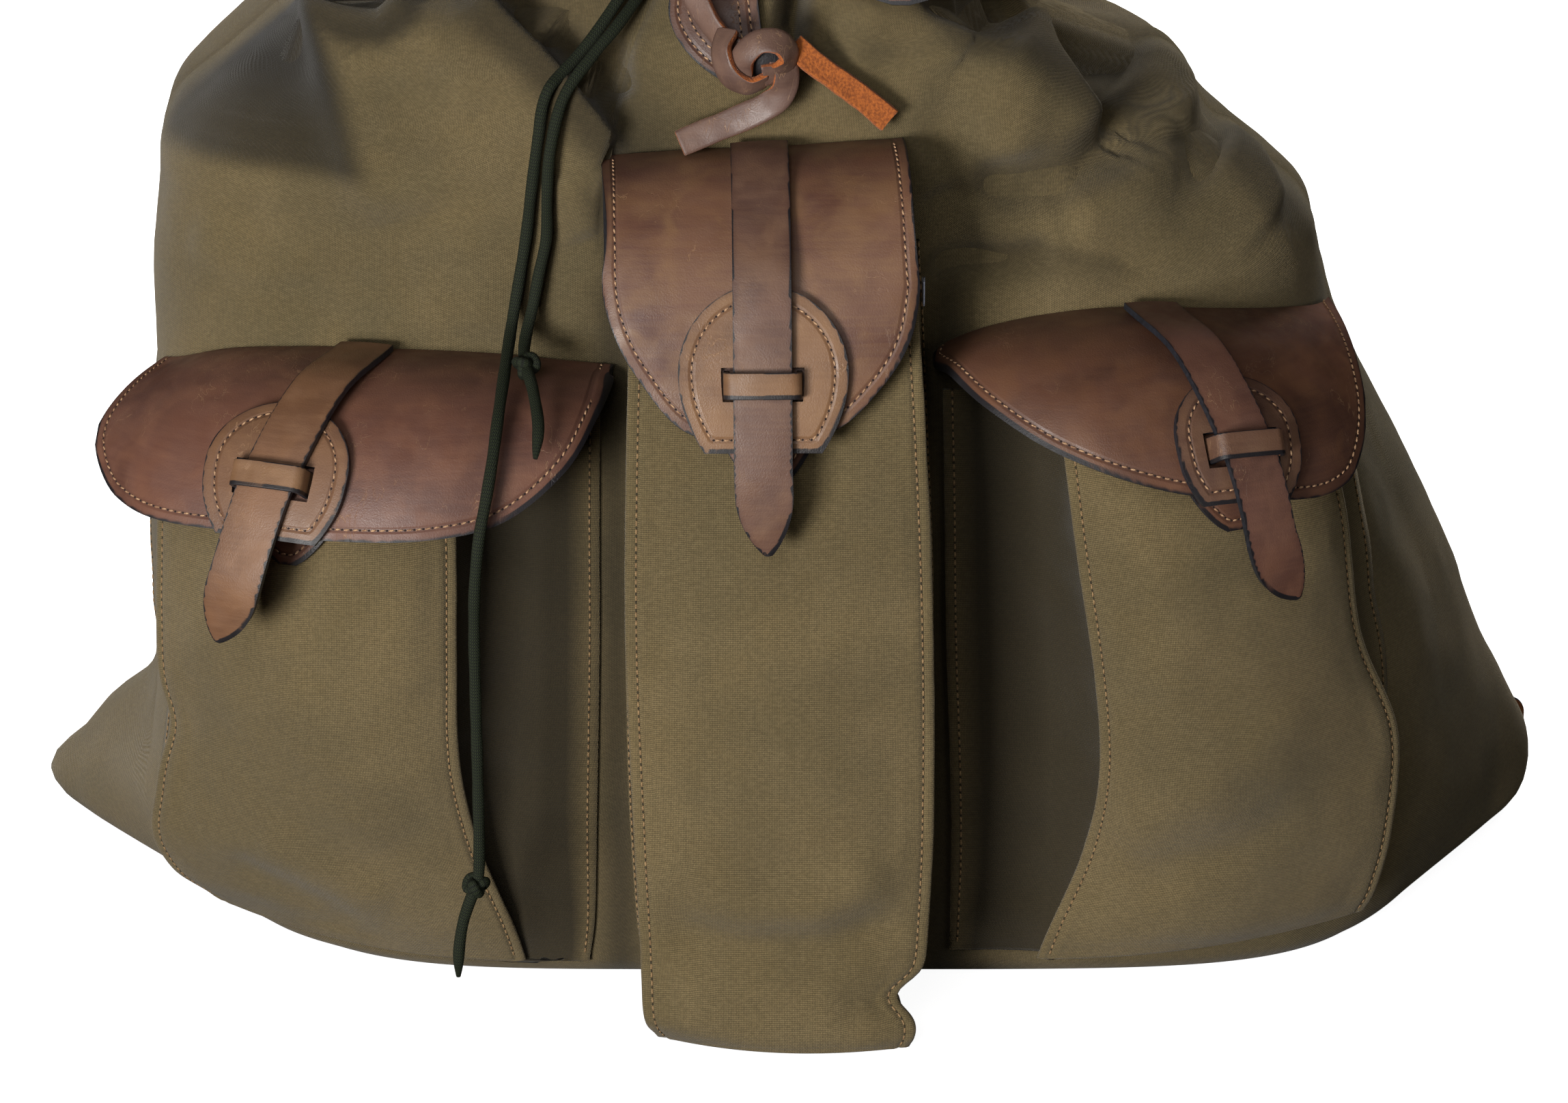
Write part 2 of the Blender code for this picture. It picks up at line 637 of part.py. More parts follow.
def slot_cutter(closure):
    """The rectangular hole for the keeper, through the tab and the flap."""
    mesh = bpy.data.meshes.new("slot_cutter_" + closure.side)
    shape = bmesh.new()
    bmesh.ops.create_cube(shape, size=1.0)
    bmesh.ops.scale(shape, verts=shape.verts, vec=(2 * SLOT_HALF_WIDTH, 2 * SLOT_HALF_HEIGHT, 20 * MM))
    bmesh.ops.transform(shape, verts=shape.verts, matrix=closure.matrix())
    shape.to_mesh(mesh)
    shape.free()
    made = bpy.data.objects.new(mesh.name, mesh)
    CUTTERS.objects.link(made)
    made.parent = ROOT
    return made


def ribbon(name, spine, normals, half_widths, thickness, finish):
    """A strap: a flat band along a spine, with its face towards the normals."""
    rows = []
    for k, point in enumerate(spine):
        before, after = spine[max(k - 1, 0)], spine[min(k + 1, len(spine) - 1)]
        side = (after - before).cross(normals[k]).normalized()
        rows.append([point + side * half_widths[k] * j for j in (-1.0, 0.0, 1.0)])
    mesh = loft(name, rows, closed=False)
    face_outwards(mesh, spine[len(spine) // 2] + normals[len(spine) // 2])
    made = place(name, mesh, finish)
    thicken(made, thickness, 0.0)
    return made


def strap_half_widths(spine, width):
    """Half widths along a strap that ends in a rounded point about one width long."""
    left = 0.0
    found = [1.5 * MM]
    for on, back in zip(spine[:0:-1], spine[-2::-1]):
        left += (on - back).length
        share = min(left / (width * 0.9), 1.0)
        found.append(max(width / 2 * math.sin(share * math.pi / 2) ** 0.75, 1.5 * MM))
    return found[::-1]


STRAP_START = 0.04
TAIL_ON_TAB = (-7.0, -13.0, -19.0, -25.0)
TAIL_STEPS = 6
STRAP_OVER_FLAP = 0.7 * MM + STRAP_LEATHER / 2
STRAP_OVER_TAB = TAB_STAND_OFF + STRAP_LEATHER + 1.0 * MM + STRAP_LEATHER / 2


def strap_spine(closure):
    """Points down the middle of a closing strap, with the way that each faces."""
    row = closure.row
    spine, normals = [], []
    steps = 9
    for k in range(steps + 1):
        share = k / steps
        station, along = strap_place(row, share)
        here = flap_point(closure.flap, station, along)
        back = flap_point(closure.flap, station, max(along - 0.04, -0.02))
        on = flap_point(closure.flap, station, along + 0.04)
        right = flap_point(closure.flap, station + 0.2, along)
        left = flap_point(closure.flap, station - 0.2, along)
        side = right - left
        normal = (on - back).cross(side).normalized()
        if normal.z < normal.y:
            normal.negate()
        over_tab = ease(46 * MM, 34 * MM, (here - closure.at).length)
        lift = FLAP_LEATHER + STRAP_OVER_FLAP + (STRAP_OVER_TAB - STRAP_OVER_FLAP) * over_tab
        spine.append(here + normal * lift)
        normals.append(normal)
    for up in TAIL_ON_TAB:
        spine.append(closure.drop(closure.flap_tree, 0.0, up * MM, FLAP_LEATHER + STRAP_OVER_TAB))
        normals.append(closure.normal)
    last = spine[-1]
    tip = Vector((row["tip_x"], row["tip_y"], row["tip_z"])) * MM
    past_tab = last + (last - spine[-2]).normalized() * (tip - last).length * 0.35
    before_tip = past_tab.lerp(tip, 0.45)
    for k in range(1, TAIL_STEPS + 1):
        share = k / TAIL_STEPS
        rest = 1 - share
        near_tab = last * rest**3 + past_tab * 3 * share * rest**2
        near_tip = before_tip * 3 * share**2 * rest + tip * share**3
        spine.append(near_tab + near_tip)
        normals.append(closure.normal.lerp(Vector((0, -1, 0)), share * 0.6).normalized())
    return spine, normals


def make_closure(side, flap, pocket_mesh):
    closure = Closure(side)
    cutter = slot_cutter(closure)
    cut(flap, cutter)
    tab = place("tab_" + side, tab_mesh(closure), "tan_leather")
    thicken(tab, STRAP_LEATHER, 1.0)
    cut(tab, cutter)
    anchor = place("anchor_" + side, anchor_mesh(closure, surface_tree(pocket_mesh)), "brown_leather")
    thicken(anchor, STRAP_LEATHER, 1.0)
    make_keeper(closure, surface_tree(anchor.data))
    spine, normals = strap_spine(closure)
    half_widths = strap_half_widths(spine, STRAP_WIDTH)
    ribbon("strap_" + side, spine, normals, half_widths, STRAP_LEATHER, "tan_leather")


def make_keeper(closure, anchor_tree):
    """A staple of leather whose two legs go through the slot to the anchor patch."""
    height = STRAP_OVER_TAB + STRAP_LEATHER / 2 + KEEPER_ROOM + KEEPER_LEATHER / 2
    legs = []
    for side in (-1, 1):
        for up in (-KEEPER_HALF_HEIGHT, 0.0, KEEPER_HALF_HEIGHT):
            foot = closure.drop(anchor_tree, side * KEEPER_HALF_WIDTH, up, (STRAP_LEATHER + GAP) * 1.26)
            if foot is not None:
                legs.append((foot - closure.at).dot(closure.normal))
    foot = max(legs, default=-12.0 * MM)
    bend = 2.4 * MM
    outline = [(-KEEPER_HALF_WIDTH, foot), (-KEEPER_HALF_WIDTH, height - bend)]
    outline += [
        (-KEEPER_HALF_WIDTH + bend * (1 - math.cos(a)), height - bend + bend * math.sin(a))
        for a in (math.pi / 6, math.pi / 3, math.pi / 2)
    ]
    outline += [(-x, n) for x, n in reversed(outline)]
    rows = [
        [
            closure.in_plane(x, up) + closure.normal * n
            for up in (-KEEPER_HALF_HEIGHT, 0.0, KEEPER_HALF_HEIGHT)
        ]
        for x, n in outline
    ]
    mesh = loft("keeper_" + closure.side, rows, closed=False)
    face_outwards(mesh, closure.at + closure.normal)
    made = place(mesh.name, mesh, "tan_leather")
    thicken(made, KEEPER_LEATHER, 0.0)


# The mouth: a leather patch beside it and a knotted thong
PATCH_COLUMNS = ("x_low", "x_high", "z")
PATCH_ROWS = (
    (-14.0, -9.0, 322.0),
    (-26.0, -7.0, 329.0),
    (-34.0, -7.0, 337.0),
    (-38.0, -8.0, 346.0),
    (-37.0, -9.0, 356.0),
)

THONG_WIDTH = 8.4 * MM
THONG_COLUMNS = ("x", "y", "z", "face_x", "face_y", "face_z")
THONG_ROWS = {
    "from_mouth": (
        (-31.0, -64.0, 358.0, -0.5, -0.8, 0.2),
        (-26.0, -68.0, 350.0, -0.6, -0.8, 0.1),
        (-20.0, -71.0, 342.0, -0.7, -0.7, 0.0),
        (-12.0, -73.0, 337.0, -0.4, -0.9, 0.1),
    ),
    "left_end": (
        (-2.0, -75.5, 338.0, 0.6, -0.8, 0.0),
        (0.5, -76.0, 332.0, 0.5, -0.85, 0.0),
        (-0.5, -75.0, 325.5, 0.2, -0.95, 0.2),
        (-6.0, -73.0, 320.0, -0.1, -0.95, 0.3),
        (-16.0, -73.0, 315.0, -0.1, -0.95, 0.3),
        (-27.0, -74.0, 310.5, -0.1, -0.95, 0.3),
        (-34.5, -75.0, 307.5, -0.1, -0.95, 0.3),
    ),
    "right_end": (
        (3.0, -73.5, 341.0, 0.2, -0.95, 0.2),
        (9.0, -73.5, 335.5, 0.1, -0.95, 0.3),
        (18.0, -72.5, 328.5, 0.1, -0.95, 0.3),
        (27.0, -72.0, 321.5, 0.0, -0.95, 0.3),
        (35.0, -72.0, 314.5, 0.0, -0.95, 0.3),
    ),
}
KNOT_CENTRE = Vector((-6.0, -74.0, 337.5)) * MM
KNOT_SIZE = Vector((11.5, 7.0, 9.5)) * MM

# The free ends of the neck's drawcord
CORD_COLUMNS = ("x", "y", "z")
CORD_ROWS = {
    "drawcord_long": (
        (-42.0, -37.0, 374.0),
        (-50.0, -51.0, 359.0),
        (-60.0, -60.0, 344.5),
        (-68.0, -65.0, 335.0),
        (-77.8, -70.2, 323.7),
        (-81.0, -72.4, 308.5),
        (-83.6, -73.5, 291.5),
        (-85.8, -73.0, 275.0),
        (-88.5, -73.5, 259.0),
        (-91.0, -79.0, 245.0),
        (-92.6, -97.0, 235.0),
        (-94.0, -112.5, 226.0),
        (-95.6, -124.5, 214.5),
        (-97.6, -132.0, 203.0),
        (-99.9, -136.0, 191.0),
        (-101.6, -136.0, 174.5),
        (-102.3, -133.0, 156.0),
        (-102.4, -130.0, 129.0),
        (-102.4, -126.0, 99.0),
        (-102.7, -122.0, 69.5),
        (-104.0, -121.0, 61.0),
        (-106.8, -120.0, 53.0),
        (-109.0, -119.0, 45.0),
        (-110.4, -118.0, 35.0),
        (-110.8, -117.0, 25.5),
    ),
    "drawcord_short": (
        (-35.5, -35.0, 372.3),
        (-44.5, -49.8, 357.2),
        (-54.6, -62.0, 345.0),
        (-62.6, -68.0, 336.5),
        (-72.6, -75.5, 323.5),
        (-77.2, -79.5, 306.0),
        (-78.4, -77.0, 288.5),
        (-79.0, -74.5, 275.0),
        (-81.6, -74.0, 262.5),
        (-84.0, -75.0, 250.5),
        (-86.0, -80.5, 243.0),
        (-86.4, -89.0, 238.5),
        (-84.8, -97.5, 235.5),
        (-82.8, -105.0, 231.0),
        (-80.8, -116.5, 223.0),
        (-81.6, -124.5, 214.5),
    ),
}

# The lid: a leather tongue from the back over the neck. Its rows run from the hinge to its tip.
LID_COLUMNS = ("x", "y", "z", "half_width", "droop")
LID_ROWS = (
    (8.0, 108.2, 316.0, 88.0, 0.0),
    (8.0, 115.0, 346.0, 90.0, 2.0),
    (10.0, 112.0, 378.0, 92.0, 6.0),
    (13.0, 88.0, 402.0, 92.0, 9.0),
    (17.0, 54.0, 411.0, 90.0, 10.0),
    (23.0, 18.0, 411.0, 84.0, 10.0),
    (29.0, -16.0, 405.0, 74.0, 9.0),
    (34.0, -44.0, 390.0, 60.0, 8.0),
    (37.0, -60.0, 372.0, 40.0, 5.0),
    (38.0, -66.5, 360.0, 20.0, 2.0),
    (38.5, -69.0, 352.5, 3.0, 0.0),
)
LID_STATIONS = 12

# Carrying straps on the back: rows run from the yoke to the bottom corner; right is the mirror of left.
CARRY_COLUMNS = ("x", "y", "z", "half_width")
CARRY_ROWS = (
    (38.0, 115.4, 292.0, 20.0),
    (44.0, 124.0, 268.0, 21.0),
    (56.0, 139.0, 240.0, 22.0),
    (76.0, 149.0, 204.0, 22.0),
    (104.0, 152.0, 164.0, 22.0),
    (140.0, 149.0, 122.0, 20.0),
    (178.0, 142.0, 84.0, 16.0),
    (212.0, 134.0, 56.0, 13.0),
    (240.0, 126.4, 34.0, 12.0),
)
CARRY_REACH = {"left": 0.0, "right": 8.0}
CARRY_STATIONS = 15
CARRY_LEATHER = 3.0 * MM
BACK_STAND_OFF = 0.5


def on_back(x, z, lift):
    """The point of the sack's back at x and z, stood off by lift; all in millimetres."""
    height = sack_height(z)
    low, high = 0.0, math.pi
    for _ in range(40):
        middle = (low + high) / 2
        if sack_base(middle, height).x > x:
            low = middle
        else:
            high = middle
    return off_sack(low, height, lift)


def make_neck_patch(sack_tree):
    grid = []
    for row in PATCH_ROWS:
        found = record(PATCH_COLUMNS, row)
        line = []
        for j in range(6):
            x = found["x_low"] + (found["x_high"] - found["x_low"]) * j / 5
            start = on_front(x, found["z"], 40.0) * MM
            inward = (on_front(x, found["z"]) * MM - start).normalized()
            hit, normal = sack_tree.ray_cast(start, inward, 0.1)[:2]
            line.append(hit - inward * 1.6 * MM)
        grid.append(line)
    mesh = loft("neck_patch", grid, closed=False)
    face_outwards(mesh, Vector((0, -2, 0)))
    made = place("neck_patch", mesh, "brown_leather")
    thicken(made, STRAP_LEATHER, 1.0)


def band_mesh(name, spine, normals, half_widths, thickness):
    """A closed band with a rectangular section, built whole."""
    rings = []
    for k, point in enumerate(spine):
        before, after = spine[max(k - 1, 0)], spine[min(k + 1, len(spine) - 1)]
        along = (after - before).normalized()
        side = along.cross(normals[k]).normalized()
        face = side.cross(along).normalized() * thickness / 2
        wide = side * half_widths[k]
        rings.append([point - wide - face, point + wide - face, point + wide + face, point - wide + face])
    return loft(name, rings, closed=True, caps=(0, len(rings) - 1))


def sampled(rows, count):
    """The table's rows, each with its number in front, sampled on a smooth curve."""
    numbered = [(float(k), *row) for k, row in enumerate(rows)]
    return [smooth(numbered, (len(rows) - 1) * k / (count - 1))[1:] for k in range(count)]


def make_lace():
    """The thong's three runs and the knot that joins them, as one solid."""
    knot_mesh = bpy.data.meshes.new("lace")
    shape = bmesh.new()
    bmesh.ops.create_uvsphere(shape, u_segments=14, v_segments=9, radius=1.0)
    bmesh.ops.scale(shape, verts=shape.verts, vec=KNOT_SIZE)
    bmesh.ops.rotate(shape, verts=shape.verts, matrix=Matrix.Rotation(0.5, 3, "Y"))
    bmesh.ops.translate(shape, verts=shape.verts, vec=KNOT_CENTRE)
    shape.to_mesh(knot_mesh)
    shape.free()
    lace = place("lace", knot_mesh, "tan_leather")
    for run, rows in THONG_ROWS.items():
        found = sampled(rows, 7)
        spine = [Vector(row[:3]) * MM for row in found]
        normals = [Vector(row[3:]).normalized() for row in found]
        mesh = band_mesh("thong_" + run, spine, normals, [THONG_WIDTH / 2] * len(spine), LACE_LEATHER)
        piece = bpy.data.objects.new(mesh.name, mesh)
        CUTTERS.objects.link(piece)
        piece.parent = ROOT
        piece.hide_render = True
        piece.display_type = "WIRE"
        join = lace.modifiers.new(run, "BOOLEAN")
        join.operation = "UNION"
        join.object = piece


def make_drawcord(name):
    curve = bpy.data.curves.new(name, "CURVE")
    curve.dimensions = "3D"
    curve.bevel_depth = CORD_DIAMETER / 2
    curve.bevel_resolution = 1
    curve.use_fill_caps = True
    found = sampled(CORD_ROWS[name], 2 * len(CORD_ROWS[name]))
    spline = curve.splines.new("POLY")
    spline.points.add(len(found) - 1)
    for point, row in zip(spline.points, found):
        point.co = (*(Vector(row) * MM), 1.0)
    curve.materials.append(material(name, "green_cord"))
    made = bpy.data.objects.new(name, curve)
    PARTS.objects.link(made)
    made.parent = ROOT


def make_lid():
    rows = []
    for row in sampled(LID_ROWS, LID_STATIONS):
        found = record(LID_COLUMNS, row)
        line = []
        for j in range(9):
            across = 2 * j / 8 - 1
            line.append(
                Vector((
                    found["x"] + across * found["half_width"],
                    found["y"],
                    found["z"] - found["droop"] * across * across,
                )) * MM
            )
        rows.append(line)
    mesh = loft("lid", rows, closed=False)
    face_outwards(mesh, Vector((0, 0, 3)))
    made = place("lid", mesh, "brown_leather")
    thicken(made, FLAP_LEATHER, 1.0)


YOKE_COLUMNS = ("x_low", "x_high", "z")
YOKE_ROWS = (
    (-62.0, 78.0, 278.0),
    (-58.0, 74.0, 293.0),
    (-54.0, 70.0, 308.0),
)


def make_yoke():
    """The leather patch on the sack's back that the carrying straps start from."""
    columns = 6
    grid = []
    for row in YOKE_ROWS:
        found = record(YOKE_COLUMNS, row)
        step = (found["x_high"] - found["x_low"]) / columns
        grid.append([
            on_back(found["x_low"] + step * j, found["z"], BACK_STAND_OFF) * MM for j in range(columns + 1)
        ])
    mesh = loft("yoke", grid, closed=False)
    face_outwards(mesh, Vector((0, 3, 0)))
    made = place("yoke", mesh, "brown_leather")
    thicken(made, CARRY_LEATHER, 1.0)


def make_back():
    make_yoke()
    for side, sign in (("left", -1.0), ("right", 1.0)):
        middle = 8.0
        found = sampled(CARRY_ROWS, CARRY_STATIONS)
        spine = []
        for k, row in enumerate(found):
            share = k / (CARRY_STATIONS - 1)
            centre = middle * (1 - share) + CARRY_REACH[side] * share**2
            spine.append(Vector((centre + sign * row[0], row[1], row[2])) * MM)
        normals = [Vector((0.0, 1.0, 0.15)).normalized() for _ in found]
        half_widths = [row[3] * MM for row in found]
        ribbon("shoulder_strap_" + side, spine, normals, half_widths, CARRY_LEATHER, "brown_leather")
        make_corner_tab(side, sign)


CORNER_TAB_COLUMNS = ("x_low", "x_high", "y", "z_low", "z_high")
CORNER_TAB_ROWS = {
    "left": (236.0, 265.0, 121.7, 7.0, 38.0),
    "right": (246.0, 280.0, 121.1, 1.0, 34.0),
}


def make_corner_tab(side, sign):
    """A leather tab flat on a bottom corner of the back."""
    found = record(CORNER_TAB_COLUMNS, CORNER_TAB_ROWS[side])
    mesh = bpy.data.meshes.new("corner_tab_" + side)
    shape = bmesh.new()
    bmesh.ops.create_cube(shape, size=1.0)
    size = Vector((found["x_high"] - found["x_low"], STRAP_LEATHER / MM, found["z_high"] - found["z_low"]))
    middle = Vector((
        sign * (found["x_low"] + found["x_high"]) / 2,
        found["y"] + STRAP_LEATHER / MM / 2,
        (found["z_low"] + found["z_high"]) / 2,
    ))
    bmesh.ops.scale(shape, verts=shape.verts, vec=size * MM)
    upright = [edge for edge in shape.edges if abs(edge.verts[0].co.y - edge.verts[1].co.y) > 0.001]
    bmesh.ops.bevel(shape, geom=upright, offset=5 * MM, segments=3, profile=0.5, affect="EDGES", material=-1)
    bmesh.ops.translate(shape, verts=shape.verts, vec=middle * MM)
    shape.to_mesh(mesh)
    shape.free()
    place(mesh.name, mesh, "brown_leather")


def make_side_tag():
    """A small blank tag in the centre pocket's gusset seam."""
    mesh = bpy.data.meshes.new("side_tag")
    shape = bmesh.new()
    bmesh.ops.create_cube(shape, size=1.0)
    bmesh.ops.scale(shape, verts=shape.verts, vec=Vector((0.8, 12.0, 9.0)) * MM)
    bmesh.ops.translate(shape, verts=shape.verts, vec=Vector((45.7, -98.0, 266.5)) * MM)
    shape.to_mesh(mesh)
    shape.free()
    place("side_tag", mesh, "white_cloth")


def main():
    sack = make_sack()
    sack_tree = surface_tree(sack.data)
    for side in ("centre", "left", "right"):
        pocket = make_pocket("pocket_" + side)
        flap = make_flap("flap_" + side)
        make_closure(side, flap, pocket.data)
    make_neck_patch(sack_tree)
    make_lace()
    for name in CORD_ROWS:
        make_drawcord(name)
    make_lid()
    make_back()
    make_side_tag()


clear_scene()
PARTS = bpy.data.collections.new("rucksack")
CUTTERS = bpy.data.collections.new("cutters")
for group in (PARTS, CUTTERS):
    bpy.context.scene.collection.children.link(group)
ROOT = bpy.data.objects.new("rucksack_origin", None)
ROOT.location = (0, SHIFT_Y, 0)
PARTS.objects.link(ROOT)
main()
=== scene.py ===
"""The looks of a canvas rucksack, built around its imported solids: a gathered sack, three gusset
pockets under leather flaps with straps and keepers, a knotted thong, drawcords, a lid and its back.

The tables are in millimetres in the drawing's frame, which lies SHIFT_Y in front of the part's.
"""

import math

import bmesh
import bpy
import numpy as np
from mathutils import Matrix, Vector, kdtree, noise
from mathutils.bvhtree import BVHTree


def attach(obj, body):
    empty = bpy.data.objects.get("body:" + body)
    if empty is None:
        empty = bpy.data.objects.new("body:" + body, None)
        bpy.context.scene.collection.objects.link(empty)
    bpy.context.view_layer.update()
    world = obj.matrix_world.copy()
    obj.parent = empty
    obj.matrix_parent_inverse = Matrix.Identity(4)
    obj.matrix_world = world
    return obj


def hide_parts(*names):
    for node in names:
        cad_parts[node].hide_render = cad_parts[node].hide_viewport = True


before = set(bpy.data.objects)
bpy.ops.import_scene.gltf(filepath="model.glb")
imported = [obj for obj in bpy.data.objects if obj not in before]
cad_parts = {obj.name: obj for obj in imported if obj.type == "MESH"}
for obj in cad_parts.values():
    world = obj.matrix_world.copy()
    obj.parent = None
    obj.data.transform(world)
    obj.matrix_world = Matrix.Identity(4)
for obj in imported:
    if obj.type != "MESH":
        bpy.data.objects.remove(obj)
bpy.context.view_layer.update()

MM = 0.001
SHIFT_Y = -7.0
CANVAS = 1.2
FLAP_LEATHER = 2.6
STRAP_LEATHER = 2.2
KEEPER_LEATHER = 1.8
CARRY_LEATHER = 3.0
STRAP_WIDTH = 19.0
CORD_DIAMETER = 4.0
WEAVE_ACROSS = 0.56
WEAVE_UP = 0.72

WALL_TOP = 250.0
NECK_HEIGHT = 386.0
NECK_CENTRE = (12.0, 24.0)
NECK_RADIUS = 36.0
PLEATS = 9
PLEAT_DEPTH = 6.0
DOME_FRONT = 2.3
DOME_BACK = 2.5
# up, left, right
SHOULDER_ROWS = (
    (0.0, 1.0, 1.0),
    (0.08, 0.992, 0.978),
    (0.16, 0.984, 0.905),
    (0.29, 0.972, 0.748),
    (0.38, 0.955, 0.665),
    (0.5, 0.868, 0.56),
    (0.58, 0.8, 0.33),
    (0.7, 0.69, 0.22),
    (0.82, 0.53, 0.15),
    (0.92, 0.32, 0.085),
    (1.0, 0.0, 0.0),
)
# z, front_left, front_right, back_left, back_right, front, back, front_square, back_square
BODY_ROWS = (
    (0.0, 150.0, 182.0, 272.0, 281.0, -54.0, 113.0, 5.5, 8.5),
    (5.0, 160.0, 187.0, 288.0, 291.0, -58.0, 119.0, 5.5, 9.0),
    (16.0, 174.0, 192.0, 291.0, 295.0, -60.0, 123.0, 5.0, 9.0),
    (32.0, 194.0, 198.0, 270.0, 294.0, -61.0, 123.0, 4.2, 8.0),
    (52.0, 208.0, 203.0, 245.0, 285.0, -62.0, 122.0, 3.6, 7.0),
    (80.0, 216.0, 206.0, 235.0, 271.0, -64.0, 122.0, 3.2, 5.5),
    (115.0, 218.0, 206.0, 231.0, 258.0, -65.0, 121.0, 3.0, 4.8),
    (150.0, 218.0, 200.0, 230.0, 237.0, -67.0, 119.0, 3.0, 4.5),
    (185.0, 217.0, 193.0, 229.0, 214.0, -68.0, 117.0, 3.0, 4.2),
    (220.0, 216.0, 186.0, 226.0, 199.0, -69.0, 114.0, 3.0, 4.0),
    (250.0, 215.0, 182.0, 222.0, 188.0, -69.0, 111.0, 3.0, 3.8),
)
# Folds of the sack's front: a line of x and z, how high it stands (a valley is below zero), how wide it
# is on its left and on its right, looking along the line, and how far its crest leans to its left.
FOLDS = (
    (
        ((-106, 352), (-99, 345), (-84, 333), (-76, 325), (-69, 317), (-58, 304), (-46, 292)),
        12.0, 3.0, 26.0, 5.0,
    ),
    (((-96, 354), (-78, 341), (-64, 328), (-56, 316)), -8.0, 9.0, 6.0, 0.0),
    (((-160, 334), (-149, 335), (-139, 336), (-130, 337), (-125, 341), (-121, 348)), 8.0, 2.6, 12.0, 3.0),
    (((-158, 342), (-146, 344), (-134, 345), (-126, 351)), -14.0, 9.0, 5.0, 0.0),
    (((-154, 350), (-151, 330), (-144, 311), (-137, 296), (-130, 276)), 8.0, 24.0, 11.0, 0.0),
    (((-226, 288), (-186, 291), (-158, 292), (-128, 298)), 3.5, 7.0, 18.0, 0.0),
    (((-120, 352), (-112, 330), (-100, 312)), 5.0, 9.0, 11.0, 0.0),
    (((-57, 340), (-56, 331), (-53, 320)), -5.0, 4.0, 4.0, 0.0),
    (((-73, 297), (-68, 286), (-62, 274)), 4.0, 5.0, 10.0, 0.0),
    (((-122, 300), (-106, 284), (-98, 262), (-100, 236)), 4.0, 24.0, 16.0, 0.0),
    (((-190, 276), (-170, 262), (-150, 240)), -2.6, 14.0, 12.0, 0.0),
    (((44, 353), (52, 346), (60, 339), (68, 336), (80, 335), (87, 330), (95, 323), (102, 315), (112, 304)),
     -12.0, 16.0, 3.0, 0.0),
    (((48, 345), (58, 335), (70, 331), (82, 328), (90, 320), (98, 310), (108, 300)), 8.0, 4.0, 15.0, 4.0),
    (((117, 306), (108, 297), (94, 291), (78, 289), (62, 291)), -8.0, 8.0, 9.0, 0.0),
    (((74, 329), (76, 312), (77, 296)), 5.0, 9.0, 9.0, 0.0),
    (((56, 330), (54, 312), (50, 296)), -4.0, 9.0, 9.0, 0.0),
    (((30, 352), (24, 334), (20, 318)), 4.0, 9.0, 9.0, 0.0),
    (((119, 337), (131, 325), (134, 310), (132, 294)), 9.0, 8.0, 14.0, 0.0),
    (((104, 340), (116, 330), (121, 314)), -7.0, 7.0, 7.0, 0.0),
    (((132, 296), (118, 284), (94, 279)), 5.0, 12.0, 9.0, 0.0),
    (((148, 290), (158, 280), (167, 266)), 6.0, 4.0, 12.0, 2.0),
    (((150, 296), (162, 286), (172, 274)), -5.0, 7.0, 4.0, 0.0),
    (((47, 262), (68, 263), (84, 266), (92, 270)), -5.0, 7.0, 8.0, 0.0),
    (((50, 290), (58, 275), (62, 260)), -5.0, 9.0, 12.0, 0.0),
    (((-202, 262), (-180, 256), (-158, 258)), 3.0, 10.0, 7.0, 0.0),
    (((2, 330), (2, 341), (4, 356), (8, 372), (10, 386)), -19.0, 4.2, 4.2, 0.0),
)

# Lines on the left of which shade is painted on the sack's cloth, how far it reaches, and how much.
PAINTED_SHADE_LINES = (
    (((-106, 352), (-99, 345), (-84, 333), (-76, 325), (-69, 317), (-58, 304), (-46, 292)), 22.0, 0.72),
    (((-158, 342), (-146, 338), (-134, 339), (-124, 346)), 13.0, 0.8),
    (
        ((44, 353), (52, 346), (60, 339), (68, 336), (80, 335), (87, 330), (95, 323), (102, 315), (112, 304)),
        15.0, 0.55,
    ),
    (((152, 290), (160, 281), (170, 268)), 14.0, 0.45),
    (((62, 288), (94, 290), (117, 304)), 8.0, 0.35),
    (((-54, 268), (-52, 286), (-50, 298)), 9.0, 0.5),
    (((110, 262), (84, 268), (47, 264)), 9.0, 0.4),
)

